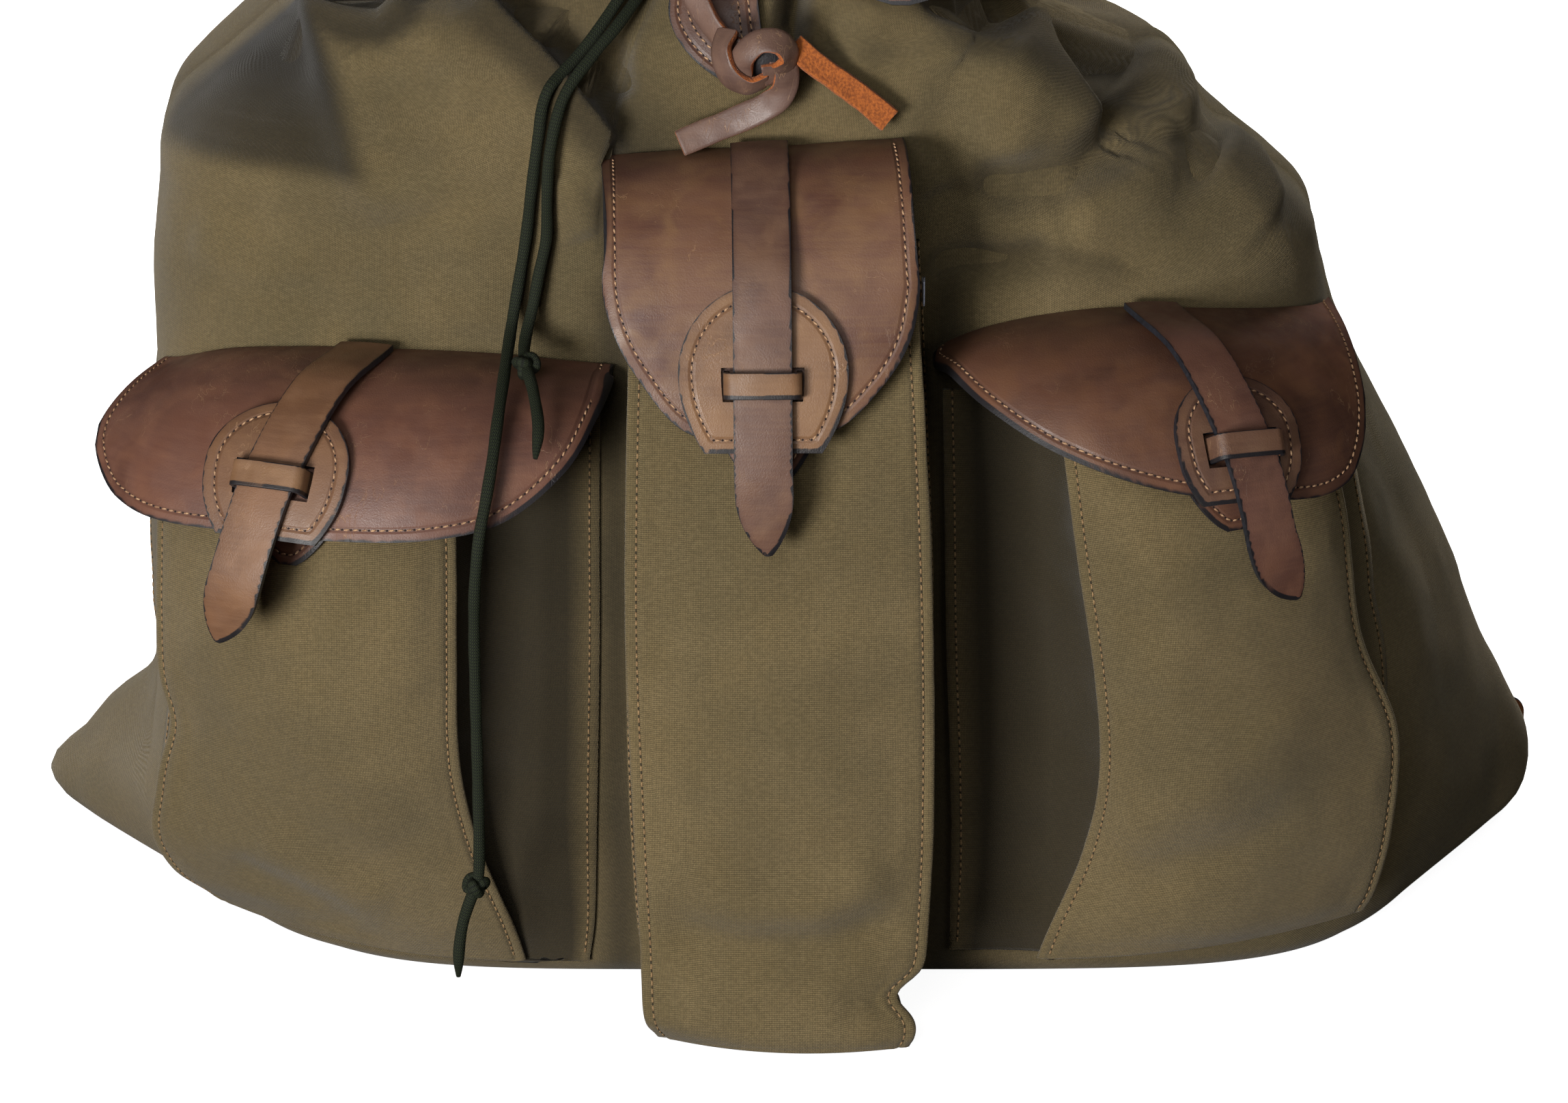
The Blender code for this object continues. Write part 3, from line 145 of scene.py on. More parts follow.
# level, z_in, z_out, seam_in, edge_in_x, edge_in_y, mid_x, mid_y, edge_out_x, edge_out_y, seam_out
POCKET_ROWS = {
    "pocket_centre": (
        (0.0, 272.0, 272.0, -52.0, -50.0, -109.0, -3.0, -113.0, 43.5, -109.0, 45.5),
        (1.0, 220.0, 220.0, -52.0, -52.0, -117.0, -2.0, -122.0, 47.0, -117.0, 48.0),
        (2.0, 150.0, 150.0, -54.0, -53.0, -119.0, -2.0, -125.0, 50.0, -119.0, 51.0),
        (3.0, 80.0, 80.0, -54.0, -51.0, -118.0, -2.0, -124.0, 50.5, -118.0, 51.0),
        (4.0, 32.0, 30.0, -52.0, -49.0, -118.0, -2.0, -125.0, 48.5, -119.0, 50.0),
        (5.0, 12.0, 9.0, -50.0, -48.0, -121.0, -2.0, -129.0, 45.5, -124.0, 46.5),
        (6.0, 1.5, 1.5, -46.0, -44.0, -113.0, -2.0, -127.0, 43.0, -122.0, 44.0),
    ),
    "pocket_left": (
        (0.0, 212.0, 203.0, -62.0, -109.0, -100.0, -162.0, -102.0, -211.0, -62.0, -219.0),
        (1.0, 174.0, 172.0, -62.5, -109.0, -103.0, -162.0, -106.0, -214.0, -63.0, -221.5),
        (2.0, 130.0, 130.0, -63.0, -110.0, -99.0, -163.0, -102.0, -216.0, -60.0, -221.5),
        (3.0, 92.0, 94.0, -64.0, -110.0, -92.0, -163.0, -94.0, -217.0, -57.0, -220.5),
        (4.0, 56.0, 58.0, -65.0, -104.0, -80.0, -160.0, -84.0, -219.0, -50.0, -218.0),
        (5.0, 24.0, 34.0, -66.0, -94.0, -69.0, -152.0, -72.0, -216.0, -40.0, -213.0),
        (6.0, 7.0, 19.0, -68.0, -90.0, -62.0, -148.0, -60.0, -204.0, -30.0, -203.0),
    ),
    "pocket_right": (
        (0.0, 220.0, 214.0, 53.5, 91.0, -97.0, 141.0, -99.0, 181.0, -70.0, 188.0),
        (1.0, 176.0, 178.0, 54.5, 97.0, -101.0, 147.0, -104.0, 191.0, -69.0, 198.0),
        (2.0, 130.0, 130.0, 55.5, 104.0, -99.0, 152.0, -102.0, 198.0, -64.0, 205.0),
        (3.0, 92.0, 92.0, 57.0, 107.0, -93.0, 158.0, -97.0, 211.0, -60.0, 209.5),
        (4.0, 58.0, 58.0, 58.0, 103.0, -82.0, 158.0, -88.0, 212.0, -60.0, 209.0),
        (5.0, 26.0, 34.0, 58.0, 92.0, -76.0, 150.0, -82.0, 208.0, -57.0, 207.0),
        (6.0, 12.0, 23.0, 58.0, 88.0, -72.0, 146.0, -74.0, 204.0, -54.0, 203.0),
    ),
}
# How much shade is painted on each pocket's gusset, on its inner and its outer side.
GUSSET_PAINTED_SHADE = {"pocket_centre": (0.86, 0.0), "pocket_left": (0.86, 0.42), "pocket_right": (0.86, 0.42)}
# How each pocket's outer edge is puckered: the height of the place, how far it moves, and how wide it is.
NOTCHES = {
    "pocket_centre": ((20.0, -8.5, 6.5),),
    "pocket_left": ((95.0, 4.0, 13.0), (50.0, -3.0, 14.0)),
    "pocket_right": ((100.0, 2.0, 26.0),),
}
# The standing seam in section, from the gusset to the front: how far in from the edge, and how far out.
RIDGE = (
    (2.4, -2.75), (1.0, -2.6), (0.2, -2.1), (-0.15, -1.25), (0.15, -0.45), (0.9, -0.05),
    (2.0, 0.1), (3.1, -0.1), (3.9, -0.6), (4.7, -0.15), (5.8, 0.2),
)
# Which of a gusset's lines the stiff standing seam begins at, and how much of the cloth's swell it has.
STIFF_FROM, STIFF = 21, 0.15
# How low the pockets' canvas may reach.
LOWEST = 1.5
# Below its notch the centre pocket's outer gusset is tucked in: (height, amount, width).
GUSSET_TUCK = {"pocket_centre": (24.0, -15.0, 7.0)}
# Folds of the pockets' fronts, as the sack's.
POCKET_FOLDS = {
    "pocket_centre": (
        (((-34, 62), (-8, 55), (12, 56), (36, 68)), 5.0, 9.0, 13.0, 0.0),
        (((-44, 46), (-16, 40), (12, 41), (40, 48)), -4.0, 9.0, 8.0, 0.0),
        (((-40, 20), (-10, 22), (24, 18)), 1.8, 8.0, 10.0, 0.0),
        (((-34, 150), (6, 118), (30, 96)), 1.2, 26.0, 18.0, 0.0),
    ),
    "pocket_left": (
        (((-200, 150), (-170, 118), (-150, 84), (-132, 60)), 1.8, 20.0, 16.0, 0.0),
        (((-196, 44), (-176, 40), (-160, 30), (-148, 20)), -3.0, 8.0, 9.0, 0.0),
        (((-182, 58), (-160, 48), (-136, 34)), 2.4, 9.0, 12.0, 0.0),
        (((-128, 180), (-122, 150), (-126, 120)), 1.6, 14.0, 12.0, 0.0),
    ),
    "pocket_right": (
        (((112, 62), (136, 78), (160, 96), (178, 116)), 2.4, 14.0, 18.0, 0.0),
        (((118, 44), (144, 58), (176, 74)), -1.8, 12.0, 9.0, 0.0),
        (((168, 196), (164, 176), (172, 158)), -3.2, 9.0, 9.0, 0.0),
        (((124, 176), (130, 150), (128, 120)), 1.4, 14.0, 12.0, 0.0),
    ),
}

# station, hinge_x, hinge_z, edge_x, edge_y, edge_z, crown
FLAP_ROWS = {
    "flap_centre": (
        (0.0, -60.5, 298.4, -58.8, -114.0, 275.0, 4.0),
        (1.0, -54.5, 298.9, -55.4, -121.0, 258.0, 6.0),
        (2.0, -41.5, 299.9, -47.5, -126.0, 243.0, 8.0),
        (3.0, -26.0, 300.9, -32.0, -130.0, 226.0, 9.0),
        (4.0, -9.0, 301.4, -8.0, -131.0, 222.0, 9.0),
        (5.0, 8.0, 302.4, 15.5, -130.0, 226.0, 9.0),
        (6.0, 23.5, 303.4, 30.0, -126.0, 238.0, 8.0),
        (7.0, 34.0, 303.9, 39.6, -121.0, 252.0, 6.0),
        (8.0, 40.0, 304.4, 43.5, -114.0, 270.0, 4.0),
    ),
    "flap_left": (
        (0.0, -57.5, 226.4, -58.3, -75.0, 226.5, 0.0),
        (1.0, -64.0, 226.9, -63.8, -97.0, 218.5, 2.0),
        (2.0, -76.5, 227.9, -73.7, -114.0, 205.5, 5.0),
        (3.0, -95.0, 229.4, -92.8, -125.0, 192.5, 7.0),
        (4.0, -116.0, 229.9, -117.2, -130.0, 188.0, 8.0),
        (5.0, -140.0, 229.4, -146.9, -128.0, 187.0, 8.0),
        (6.0, -163.5, 227.9, -178.7, -119.0, 187.0, 7.0),
        (7.0, -188.5, 223.4, -212.0, -102.0, 187.0, 5.0),
        (8.0, -212.0, 212.9, -234.0, -73.0, 194.5, 2.0),
    ),
    "flap_right": (
        (0.0, 52.0, 231.4, 53.0, -75.0, 230.0, 0.0),
        (1.0, 56.5, 234.9, 56.5, -93.0, 232.0, 1.0),
        (2.0, 68.5, 239.4, 68.0, -110.0, 226.5, 3.0),
        (3.0, 86.5, 242.9, 86.1, -122.0, 217.5, 5.0),
        (4.0, 107.5, 244.4, 107.8, -128.0, 209.5, 6.0),
        (5.0, 128.5, 242.9, 131.2, -126.0, 202.5, 7.0),
        (6.0, 149.5, 239.9, 155.2, -117.0, 197.5, 6.0),
        (7.0, 171.0, 235.4, 179.5, -100.0, 193.5, 4.0),
        (8.0, 187.0, 229.6, 195.5, -78.0, 198.5, 2.0),
    ),
}

# How many stations wide the flap's rounded corners are, and how much of the side they take.
CORNERS = {"flap_centre": (0.35, 0.0), "flap_left": (0.6, 0.3), "flap_right": (0.6, 0.3)}

# station, along, top_station, tip_x, tip_y, tip_z, anchor_x, anchor_top, anchor_bottom
CLOSURE_ROWS = {
    "centre": (4.05, 0.875, 4.05, -5.0, -138.0, 186.0, -5.0, 246.0, 203.0),
    "left": (5.68, 0.8, 4.98, -188.0, -122.0, 150.0, -165.0, 205.0, 171.0),
    "right": (5.75, 0.815, 4.7, 170.5, -117.0, 163.5, 150.0, 214.0, 182.0),
}
# How far each closure turns with its strap, how wide its tab is, and how tall.
TAB_SHAPES = {"centre": (1.0, 1.0, 1.0), "left": (0.25, 0.9, 0.76), "right": (0.35, 0.82, 0.68)}

# x_low, x_high, z
PATCH_ROWS = (
    (-14.0, -9.0, 322.0),
    (-26.0, -7.0, 329.0),
    (-34.0, -7.0, 337.0),
    (-38.0, -8.0, 346.0),
    (-37.0, -9.0, 356.0),
)

# x, y, z
CORD_ROWS = {
    "drawcord_long": (
        (-42.0, -37.0, 374.0), (-50.0, -51.0, 359.0), (-60.0, -60.0, 344.5), (-68.0, -65.0, 335.0),
        (-77.8, -70.2, 323.7), (-81.0, -72.4, 308.5), (-83.6, -73.5, 291.5), (-85.8, -73.0, 275.0),
        (-88.5, -73.5, 259.0), (-91.0, -79.0, 245.0), (-92.6, -97.0, 235.0), (-94.0, -112.5, 226.0),
        (-95.6, -124.5, 214.5), (-97.6, -132.0, 203.0), (-99.9, -136.0, 191.0), (-101.6, -136.0, 174.5),
        (-102.3, -133.0, 156.0), (-102.4, -130.0, 129.0), (-102.4, -126.0, 99.0), (-102.7, -122.0, 69.5),
        (-104.0, -121.0, 61.0), (-106.8, -120.0, 53.0), (-109.0, -119.0, 45.0), (-110.4, -118.0, 35.0),
        (-110.8, -117.0, 25.5),
    ),
    "drawcord_short": (
        (-35.5, -35.0, 372.3), (-44.5, -49.8, 357.2), (-54.6, -62.0, 345.0), (-62.6, -68.0, 336.5),
        (-72.6, -75.5, 323.5), (-77.2, -79.5, 306.0), (-78.4, -77.0, 288.5), (-79.0, -74.5, 275.0),
        (-81.6, -74.0, 262.5), (-84.0, -75.0, 250.5), (-86.0, -80.5, 243.0), (-86.4, -89.0, 238.5),
        (-84.8, -97.5, 235.5), (-82.8, -105.0, 231.0), (-80.8, -116.5, 223.0), (-81.6, -124.5, 214.5),
    ),
}
KNOTS = {"drawcord_long": (20.0, 0.45), "drawcord_short": (11.6, 0.25)}

# x, y, z, half_width, droop
LID_ROWS = (
    (8.0, 108.2, 316.0, 88.0, 0.0),
    (8.0, 115.0, 346.0, 90.0, 2.0),
    (10.0, 112.0, 378.0, 92.0, 6.0),
    (13.0, 88.0, 402.0, 92.0, 9.0),
    (17.0, 54.0, 411.0, 90.0, 10.0),
    (23.0, 18.0, 411.0, 84.0, 10.0),
    (29.0, -16.0, 405.0, 74.0, 9.0),
    (34.0, -44.0, 390.0, 60.0, 8.0),
    (37.0, -60.0, 372.0, 40.0, 5.0),
    (38.0, -66.5, 360.0, 20.0, 2.0),
    (38.5, -69.0, 352.5, 3.0, 0.0),
)
# x, y, z, half_width
CARRY_ROWS = (
    (38.0, 115.4, 292.0, 20.0),
    (44.0, 124.0, 268.0, 21.0),
    (56.0, 139.0, 240.0, 22.0),
    (76.0, 149.0, 204.0, 22.0),
    (104.0, 152.0, 164.0, 22.0),
    (140.0, 149.0, 122.0, 20.0),
    (178.0, 142.0, 84.0, 16.0),
    (212.0, 134.0, 56.0, 13.0),
    (240.0, 126.4, 34.0, 12.0),
)
CARRY_REACH = {"left": 0.0, "right": 8.0}
# x_low, x_high, z
YOKE_ROWS = ((-62.0, 78.0, 278.0), (-58.0, 74.0, 293.0), (-54.0, 70.0, 308.0))
# x_low, x_high, y, z_low, z_high
CORNER_TAB_ROWS = {
    "left": (-262.0, -236.0, 121.7, 5.0, 29.0),
    "right": (246.0, 280.0, 121.1, 1.0, 34.0),
}


# Numbers and curves


def unit(vectors):
    return vectors / np.maximum(np.linalg.norm(vectors, axis=-1, keepdims=True), 1e-12)


def ease(low, high, at):
    """Runs smoothly from 0 at low to 1 at high, whichever of them is the greater."""
    share = np.clip((np.asarray(at, float) - low) / (high - low), 0.0, 1.0)
    return share * share * (3 - 2 * share)


def signed_power(value, power):
    return np.sign(value) * np.abs(value) ** power


def smooth(rows, at):
    """Rows at those places in the first column, on a smooth curve through the table's rows."""
    rows = np.array(rows, float)
    keys = rows[:, 0]
    last = len(keys) - 1
    at = np.clip(np.asarray(at, float), keys[0], keys[-1])
    after = np.minimum(np.arange(last + 1) + 1, last)
    before = np.maximum(np.arange(last + 1) - 1, 0)
    slopes = (rows[after] - rows[before]) / (keys[after] - keys[before])[:, None]
    k = np.clip(np.searchsorted(keys, at, side="right") - 1, 0, last - 1)
    span = (keys[k + 1] - keys[k])[..., None]
    s = (at - keys[k])[..., None] / span
    s2, s3 = s * s, s * s * s
    return (
        (2 * s3 - 3 * s2 + 1) * rows[k]
        + (s3 - 2 * s2 + s) * span * slopes[k]
        + (3 * s2 - 2 * s3) * rows[k + 1]
        + (s3 - s2) * span * slopes[k + 1]
    )


def sampled(rows, count):
    """The table's rows at that many places, evenly by row, on a smooth curve."""
    numbered = [(float(k), *row) for k, row in enumerate(rows)]
    return smooth(numbered, np.linspace(0, len(rows) - 1, count))[:, 1:]


def travelled(points):
    """How far along the line each point is."""
    steps = np.linalg.norm(np.diff(points, axis=0), axis=-1)
    return np.concatenate([[0.0], np.cumsum(steps)])


def spaced(points, step):
    """Points along the line, one step apart."""
    points = np.asarray(points, float)
    far = travelled(points)
    count = max(int(round(far[-1] / step)), 1)
    places = np.linspace(0, far[-1], count + 1)
    return np.stack([np.interp(places, far, points[:, c]) for c in range(points.shape[1])], -1)


def ripple(points, size, seed=0.0, stretch=(1.0, 1.0, 1.0)):
    """Soft noise from -1 to 1 at each point, with swells about that size across."""
    flat = points.reshape(-1, 3) / (size * np.array(stretch)) + seed
    return np.array([noise.noise(place) for place in flat.tolist()]).reshape(points.shape[:-1])


def grid_normals(points):
    along_u = np.gradient(points, axis=0)
    along_v = np.gradient(points, axis=1)
    return unit(np.cross(along_u, along_v))


def beside(start, end, at):
    """How far along the run each place is, from 0 to 1, how far off it, and on which side."""
    run = end - start
    rel = at - start
    share = np.clip((rel @ run) / (run @ run), 0, 1)
    away = np.linalg.norm(rel - share[..., None] * run, axis=-1)
    return share, away, run[0] * rel[..., 1] - run[1] * rel[..., 0]


def fold_field(folds, at):
    """The height of the folds at places of x and z, and how far each leans sideways."""
    height = np.zeros(at.shape[:-1])
    lean = np.zeros(at.shape)
    for line, rise, left_width, right_width, tuck in folds:
        line = np.array(line, float)
        far = travelled(line)
        best = np.full(at.shape[:-1], 1e9)
        signed = np.zeros(at.shape[:-1])
        place = np.zeros(at.shape[:-1])
        across = np.zeros(at.shape)
        for k in range(len(line) - 1):
            share, away, side = beside(line[k], line[k + 1], at)
            run = line[k + 1] - line[k]
            nearer = away < best
            best = np.where(nearer, away, best)
            signed = np.where(nearer, np.sign(side) * away, signed)
            place = np.where(nearer, far[k] + share * (far[k + 1] - far[k]), place)
            left = np.array([-run[1], run[0]]) / np.linalg.norm(run)
            across = np.where(nearer[..., None], left, across)
        taper = 0.18 * far[-1]
        fade = ease(-0.4 * taper, taper, place) * ease(far[-1] + 0.4 * taper, far[-1] - taper, place)
        width = np.where(signed > 0, left_width, right_width)
        height += rise * fade * np.exp(-((signed / width) ** 2))
        if tuck:
            reach = np.where(signed > 0, left_width, 3.0 * left_width)
            lean += across * (tuck * fade * np.exp(-((signed / reach) ** 2)))[..., None]
    return height, lean


# The sack's surface, in millimetres


def wall_point(angle, z):
    row = np.moveaxis(smooth(BODY_ROWS, z), -1, 0)
    _, front_left, front_right, back_left, back_right, front, back, front_square, back_square = row
    across, along = np.cos(angle), np.sin(angle)
    power = 2.0 / np.where(along > 0, back_square, front_square)
    middle = 0.35 * front + 0.65 * back - 28.0
    reach = np.where(along > 0, back - middle, middle - front)
    y = middle + reach * signed_power(along, power)
    depth = (y - front) / (back - front)
    near = np.where(across < 0, front_left, front_right)
    far = np.where(across < 0, back_left, back_right)
    half = near * (1 - depth) + far * depth
    return np.stack([half * signed_power(across, power), y, np.broadcast_to(z, y.shape)], -1)


def dome_reach(angle, up):
    across, along = np.cos(angle), np.sin(angle)
    power = np.where(along > 0, DOME_BACK, DOME_FRONT)
    face = np.maximum(1 - up**power, 0.0) ** (1 / power)
    shoulders = smooth(SHOULDER_ROWS, up)
    shoulder = np.where(across < 0, shoulders[..., 1], shoulders[..., 2])
    share = 1 - along**6
    return np.maximum(shoulder * share + face * (1 - share), 0.0)


def sack_base(angle, height):
    """The sack without its folds. height runs from 0 at the floor to WALL_TOP, and 1 more to the neck."""
    angle, height = np.broadcast_arrays(np.asarray(angle, float), np.asarray(height, float))
    foot = wall_point(angle, np.minimum(height, WALL_TOP))
    up = np.clip(height - WALL_TOP, 0.0, 1.0)
    neck = np.stack([
        NECK_CENTRE[0] + NECK_RADIUS * np.cos(angle),
        NECK_CENTRE[1] + NECK_RADIUS * np.sin(angle),
        np.full(angle.shape, NECK_HEIGHT),
    ], -1)
    point = neck + (foot - neck) * np.where(up > 0, dome_reach(angle, up), 1.0)[..., None]
    point[..., 2] = foot[..., 2] + (NECK_HEIGHT - WALL_TOP) * up
    return point


def sack_normal(angle, height):
    angle, height = np.broadcast_arrays(np.asarray(angle, float), np.asarray(height, float))
    step = np.where(height <= WALL_TOP - 0.5, 0.5, 0.004)
    high = np.minimum(height + step, WALL_TOP + 1.0)
    up = sack_base(angle, high) - sack_base(angle, height - np.minimum(step, height))
    round_it = sack_base(angle + 0.01, height) - sack_base(angle - 0.01, height)
    return unit(np.cross(round_it, up))


def angle_at(x, height, low, high, sign):
    """The angle from low to high where the sack is at x. sign is 1 where x grows with the angle."""
    low, high = np.full(np.shape(x), low), np.full(np.shape(x), high)
    for _ in range(30):
        middle = (low + high) / 2
        short = sign * (sack_base(middle, height)[..., 0] - x) < 0
        low, high = np.where(short, middle, low), np.where(short, high, middle)
    return (low + high) / 2


def front_angle(x, height):
    return angle_at(x, height, math.pi, 2 * math.pi, 1.0)


def back_angle(x, height):
    return angle_at(x, height, 0.0, math.pi, -1.0)


def sack_height(z):
    z = np.asarray(z, float)
    return np.where(z <= WALL_TOP, z, WALL_TOP + (z - WALL_TOP) / (NECK_HEIGHT - WALL_TOP))


def on_front(x, z, lift=0.0):
    """The points of the sack's front at x and z, stood off by lift."""
    height = sack_height(z)
    angle = front_angle(np.asarray(x, float), height)
    return sack_base(angle, height) + sack_normal(angle, height) * np.asarray(lift, float)[..., None]


def sack_surface(angle, height):
    """The sack's outer surface with its gathers, folds and swells."""
    base = sack_base(angle, height)
    normal = sack_normal(angle, height)
    up = np.clip(height - WALL_TOP, 0.0, 1.0)
    wander = 0.35 * np.sin(3 * angle + 0.6)
    gathers = ease(0.35, 1.0, up) * np.cos(PLEATS * angle + wander)
    small = ease(0.62, 1.0, up) * np.cos(2.6 * PLEATS * angle + 2.0 * np.sin(2 * angle))
    lift = PLEAT_DEPTH * gathers + 1.8 * small
    front = ease(0.2, -0.2, np.sin(angle)) * ease(215.0, 240.0, base[..., 2])
    rise, lean = fold_field(FOLDS, base[..., [0, 2]])
    hidden = (base[..., 0] > -60.0) & (base[..., 0] < 42.0)
    shown = np.where(hidden, ease(298.0, 312.0, base[..., 2]), 1.0) * front
    lift = lift + rise * shown
    swell = 2.2 * ripple(base, 74.0, 3.1) + 1.0 * ripple(base, 31.0, 8.4) + 0.35 * ripple(base, 13.0, 5.2)
    side = ease(-0.75, -0.2, np.sin(angle))
    swell = swell * (0.55 + 0.9 * side) * ease(0.0, 14.0, base[..., 2])
    point = base + normal * (lift + swell)[..., None]
    corner = ((base[..., 0] + 250.0) / 26.0) ** 2 + ((base[..., 2] - 44.0) / 17.0) ** 2
    point += normal * (7.0 * np.exp(-corner))[..., None]
    point[..., 0] += lean[..., 0] * shown
    point[..., 2] += lean[..., 1] * shown
    point[..., 2] = np.maximum(point[..., 2], 0.0)
    return point


# Sheets, stitches and pieces


def flat_measure(points):
    """How far each grid point lies along the cloth, both ways, from the grid's middle column."""
    across = np.concatenate([np.zeros((1, points.shape[1])),
                             np.cumsum(np.linalg.norm(np.diff(points, axis=0), axis=-1), axis=0)])
    along = np.concatenate([np.zeros((points.shape[0], 1)),
                            np.cumsum(np.linalg.norm(np.diff(points, axis=1), axis=-1), axis=1)], axis=1)
    return across - across[points.shape[0] // 2], along


def lay(name, points, outside=None, fields=None, measure=None):
    """A mesh from a flat grid whose corners are moved to the points, in millimetres. outside is a
    direction that its faces look towards, and fields are numbers kept at its corners."""
    columns, rows = points.shape[0] - 1, points.shape[1] - 1
    across, along = (found.tolist() for found in (measure or flat_measure(points)))
    placed = to_part(points).tolist()
    fields = {field: values.tolist() for field, values in (fields or {}).items()}
    shape = bmesh.new()
    bmesh.ops.create_grid(shape, x_segments=columns, y_segments=rows, size=0.5)
    flat = shape.loops.layers.uv.new("flat")
    layers = {field: shape.verts.layers.float.new(field) for field in fields}
    for corner in shape.verts:
        i, j = round((corner.co.x + 0.5) * columns), round((corner.co.y + 0.5) * rows)
        corner.co = placed[i][j]
        for loop in corner.link_loops:
            loop[flat].uv = (across[i][j], along[i][j])
        for field, values in fields.items():
            corner[layers[field]] = values[i][j]
    bmesh.ops.remove_doubles(shape, verts=shape.verts, dist=2e-6)
    bmesh.ops.recalc_face_normals(shape, faces=shape.faces)
    if outside is not None:
        outside = Vector(outside)
        if sum(face.normal.dot(outside) * face.calc_area() for face in shape.faces) < 0:
            bmesh.ops.reverse_faces(shape, faces=shape.faces)
    mesh = bpy.data.meshes.new(name)
    shape.to_mesh(mesh)
    shape.free()
    return mesh


def piece(name, mesh, materials, replaced=()):
    """A piece of the rucksack, which rides on its one body."""
    made = bpy.data.objects.new(name, mesh)
    bpy.context.scene.collection.objects.link(made)
    for material in materials:
        mesh.materials.append(material)
    mesh.shade_smooth()
    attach(made, "root")
    if replaced:
        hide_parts(*replaced)
    return made


def thicken(made, thickness, offset, rim=0, flesh=0):
    """Gives a sheet its thickness, with other materials on its rim and its inner side."""
    wall = made.modifiers.new("wall", "SOLIDIFY")
    wall.thickness = thickness * MM
    wall.offset = offset
    wall.material_offset_rim = rim
    wall.material_offset = flesh


def round_edges(made, width, segments=2):
    edges = made.modifiers.new("edges", "BEVEL")
    edges.width = width * MM
    edges.segments = segments
    edges.profile = 0.5
    edges.limit_method = "ANGLE"
    edges.angle_limit = math.radians(55)
    edges.harden_normals = True


def leather_piece(name, mesh, thickness, offset, rounding):
    """Leather with its grain outside, its painted edge and its flesh side."""
    made = piece("leather_" + name, mesh, (LEATHERS[name], EDGE_PAINT, FLESH_SIDE), (name,))
    thicken(made, thickness, offset, 1, 2)
    round_edges(made, rounding)


def tree_of(mesh):
    return BVHTree.FromPolygons([v.co for v in mesh.vertices], [tuple(f.vertices) for f in mesh.polygons])


def grid_tree(points):
    """A search tree of one side of a grid, whose faces look outwards."""
    number = np.arange(points.shape[0] * points.shape[1]).reshape(points.shape[:2])
    corners = (number[:-1, :-1], number[1:, :-1], number[1:, 1:], number[:-1, 1:])
    quads = np.stack(corners, -1).reshape(-1, 4).tolist()
    return BVHTree.FromPolygons([Vector(place) for place in to_part(points).reshape(-1, 3)], quads)


def to_part(points):
    """Points of the drawing's frame, in metres in the part's."""
    return (np.asarray(points, float) + np.array([0.0, SHIFT_Y, 0.0])) * MM


def from_part(place):
    """A place of the part's frame, in metres, back in the drawing's."""
    return np.array(place) / MM - (0, SHIFT_Y, 0)


def snapped(tree, points, lift):
    """Each point on the nearest place of a surface, stood off by lift; all in millimetres."""
    found = []
    for point in to_part(points).reshape(-1, 3):
        hit, normal = tree.find_nearest(Vector(point))[:2]
        found.append(from_part(hit) + np.array(normal) * lift)
    return np.array(found).reshape(np.shape(points))


def kept_off(tree, points, least):
    """The points, with those nearer to a surface than least, or behind it, moved out to it."""
    moved = points.reshape(-1, 3).copy()
    for k, place in enumerate(to_part(moved)):
        hit, normal = tree.find_nearest(Vector(place))[:2]
        if (Vector(place) - hit).dot(normal) < least * MM:
            moved[k] = from_part(hit + normal * least * MM)
    return moved.reshape(points.shape)


def from_edge(points, sides):
    """How far each grid point is from the grid's free sides, in millimetres, and the same for the rim's
    black paint, which reaches further in where the border looks down and to the right."""
    lines = {"first": points[0], "last": points[-1], "start": points[:, 0], "end": points[:, -1]}
    border = np.concatenate([spaced(lines[side], 0.5) for side in sides])
    near = kdtree.KDTree(len(border))
    for k, point in enumerate(border.tolist()):
        near.insert(point, k)
    near.balance()
    found = [near.find(point) for point in points.reshape(-1, 3).tolist()]
    away = np.array([hit[2] for hit in found]).reshape(points.shape[:2])
    way = np.array([tuple(hit[0]) for hit in found]).reshape(points.shape) - points
    sideways = -0.4 if points[..., 0].mean() > 60.0 else 0.4
    look = np.clip((sideways * way[..., 0] - 0.92 * way[..., 2]) / np.maximum(away, 0.3), 0.0, 1.0)
    return {"edge": away, "rim": away - 1.4 * look}


def inset(outline, tree, amount, lift):
    """A seam that runs beside an outline on a surface, with the way it faces at each point."""
    outline = spaced(outline, 1.0)
    tangent = unit(np.gradient(outline, axis=0))
    normals, places = [], to_part(outline)
    for place in places:
        normals.append(tree.find_nearest(Vector(place))[1])
    normals = np.array(normals)
    side = unit(np.cross(normals, tangent))
    best = None
    for sign in (1.0, -1.0):
        moved = outline + side * amount * sign
        hits = [tree.find_nearest(Vector(place)) for place in to_part(moved)]
        away = sum(hit[3] for hit in hits)
        if best is None or away < best[0]:
            best = (away, moved, hits)
    kept, facing = [], []
    for moved, hit in zip(best[1], best[2]):
        if np.linalg.norm(outline - moved, axis=1).min() > amount * 0.965 and hit[3] < 1.5 * MM:
            kept.append(from_part(hit[0]) + np.array(hit[1]) * lift)
            facing.append(np.array(hit[1]))
    return np.array(kept), np.array(facing)


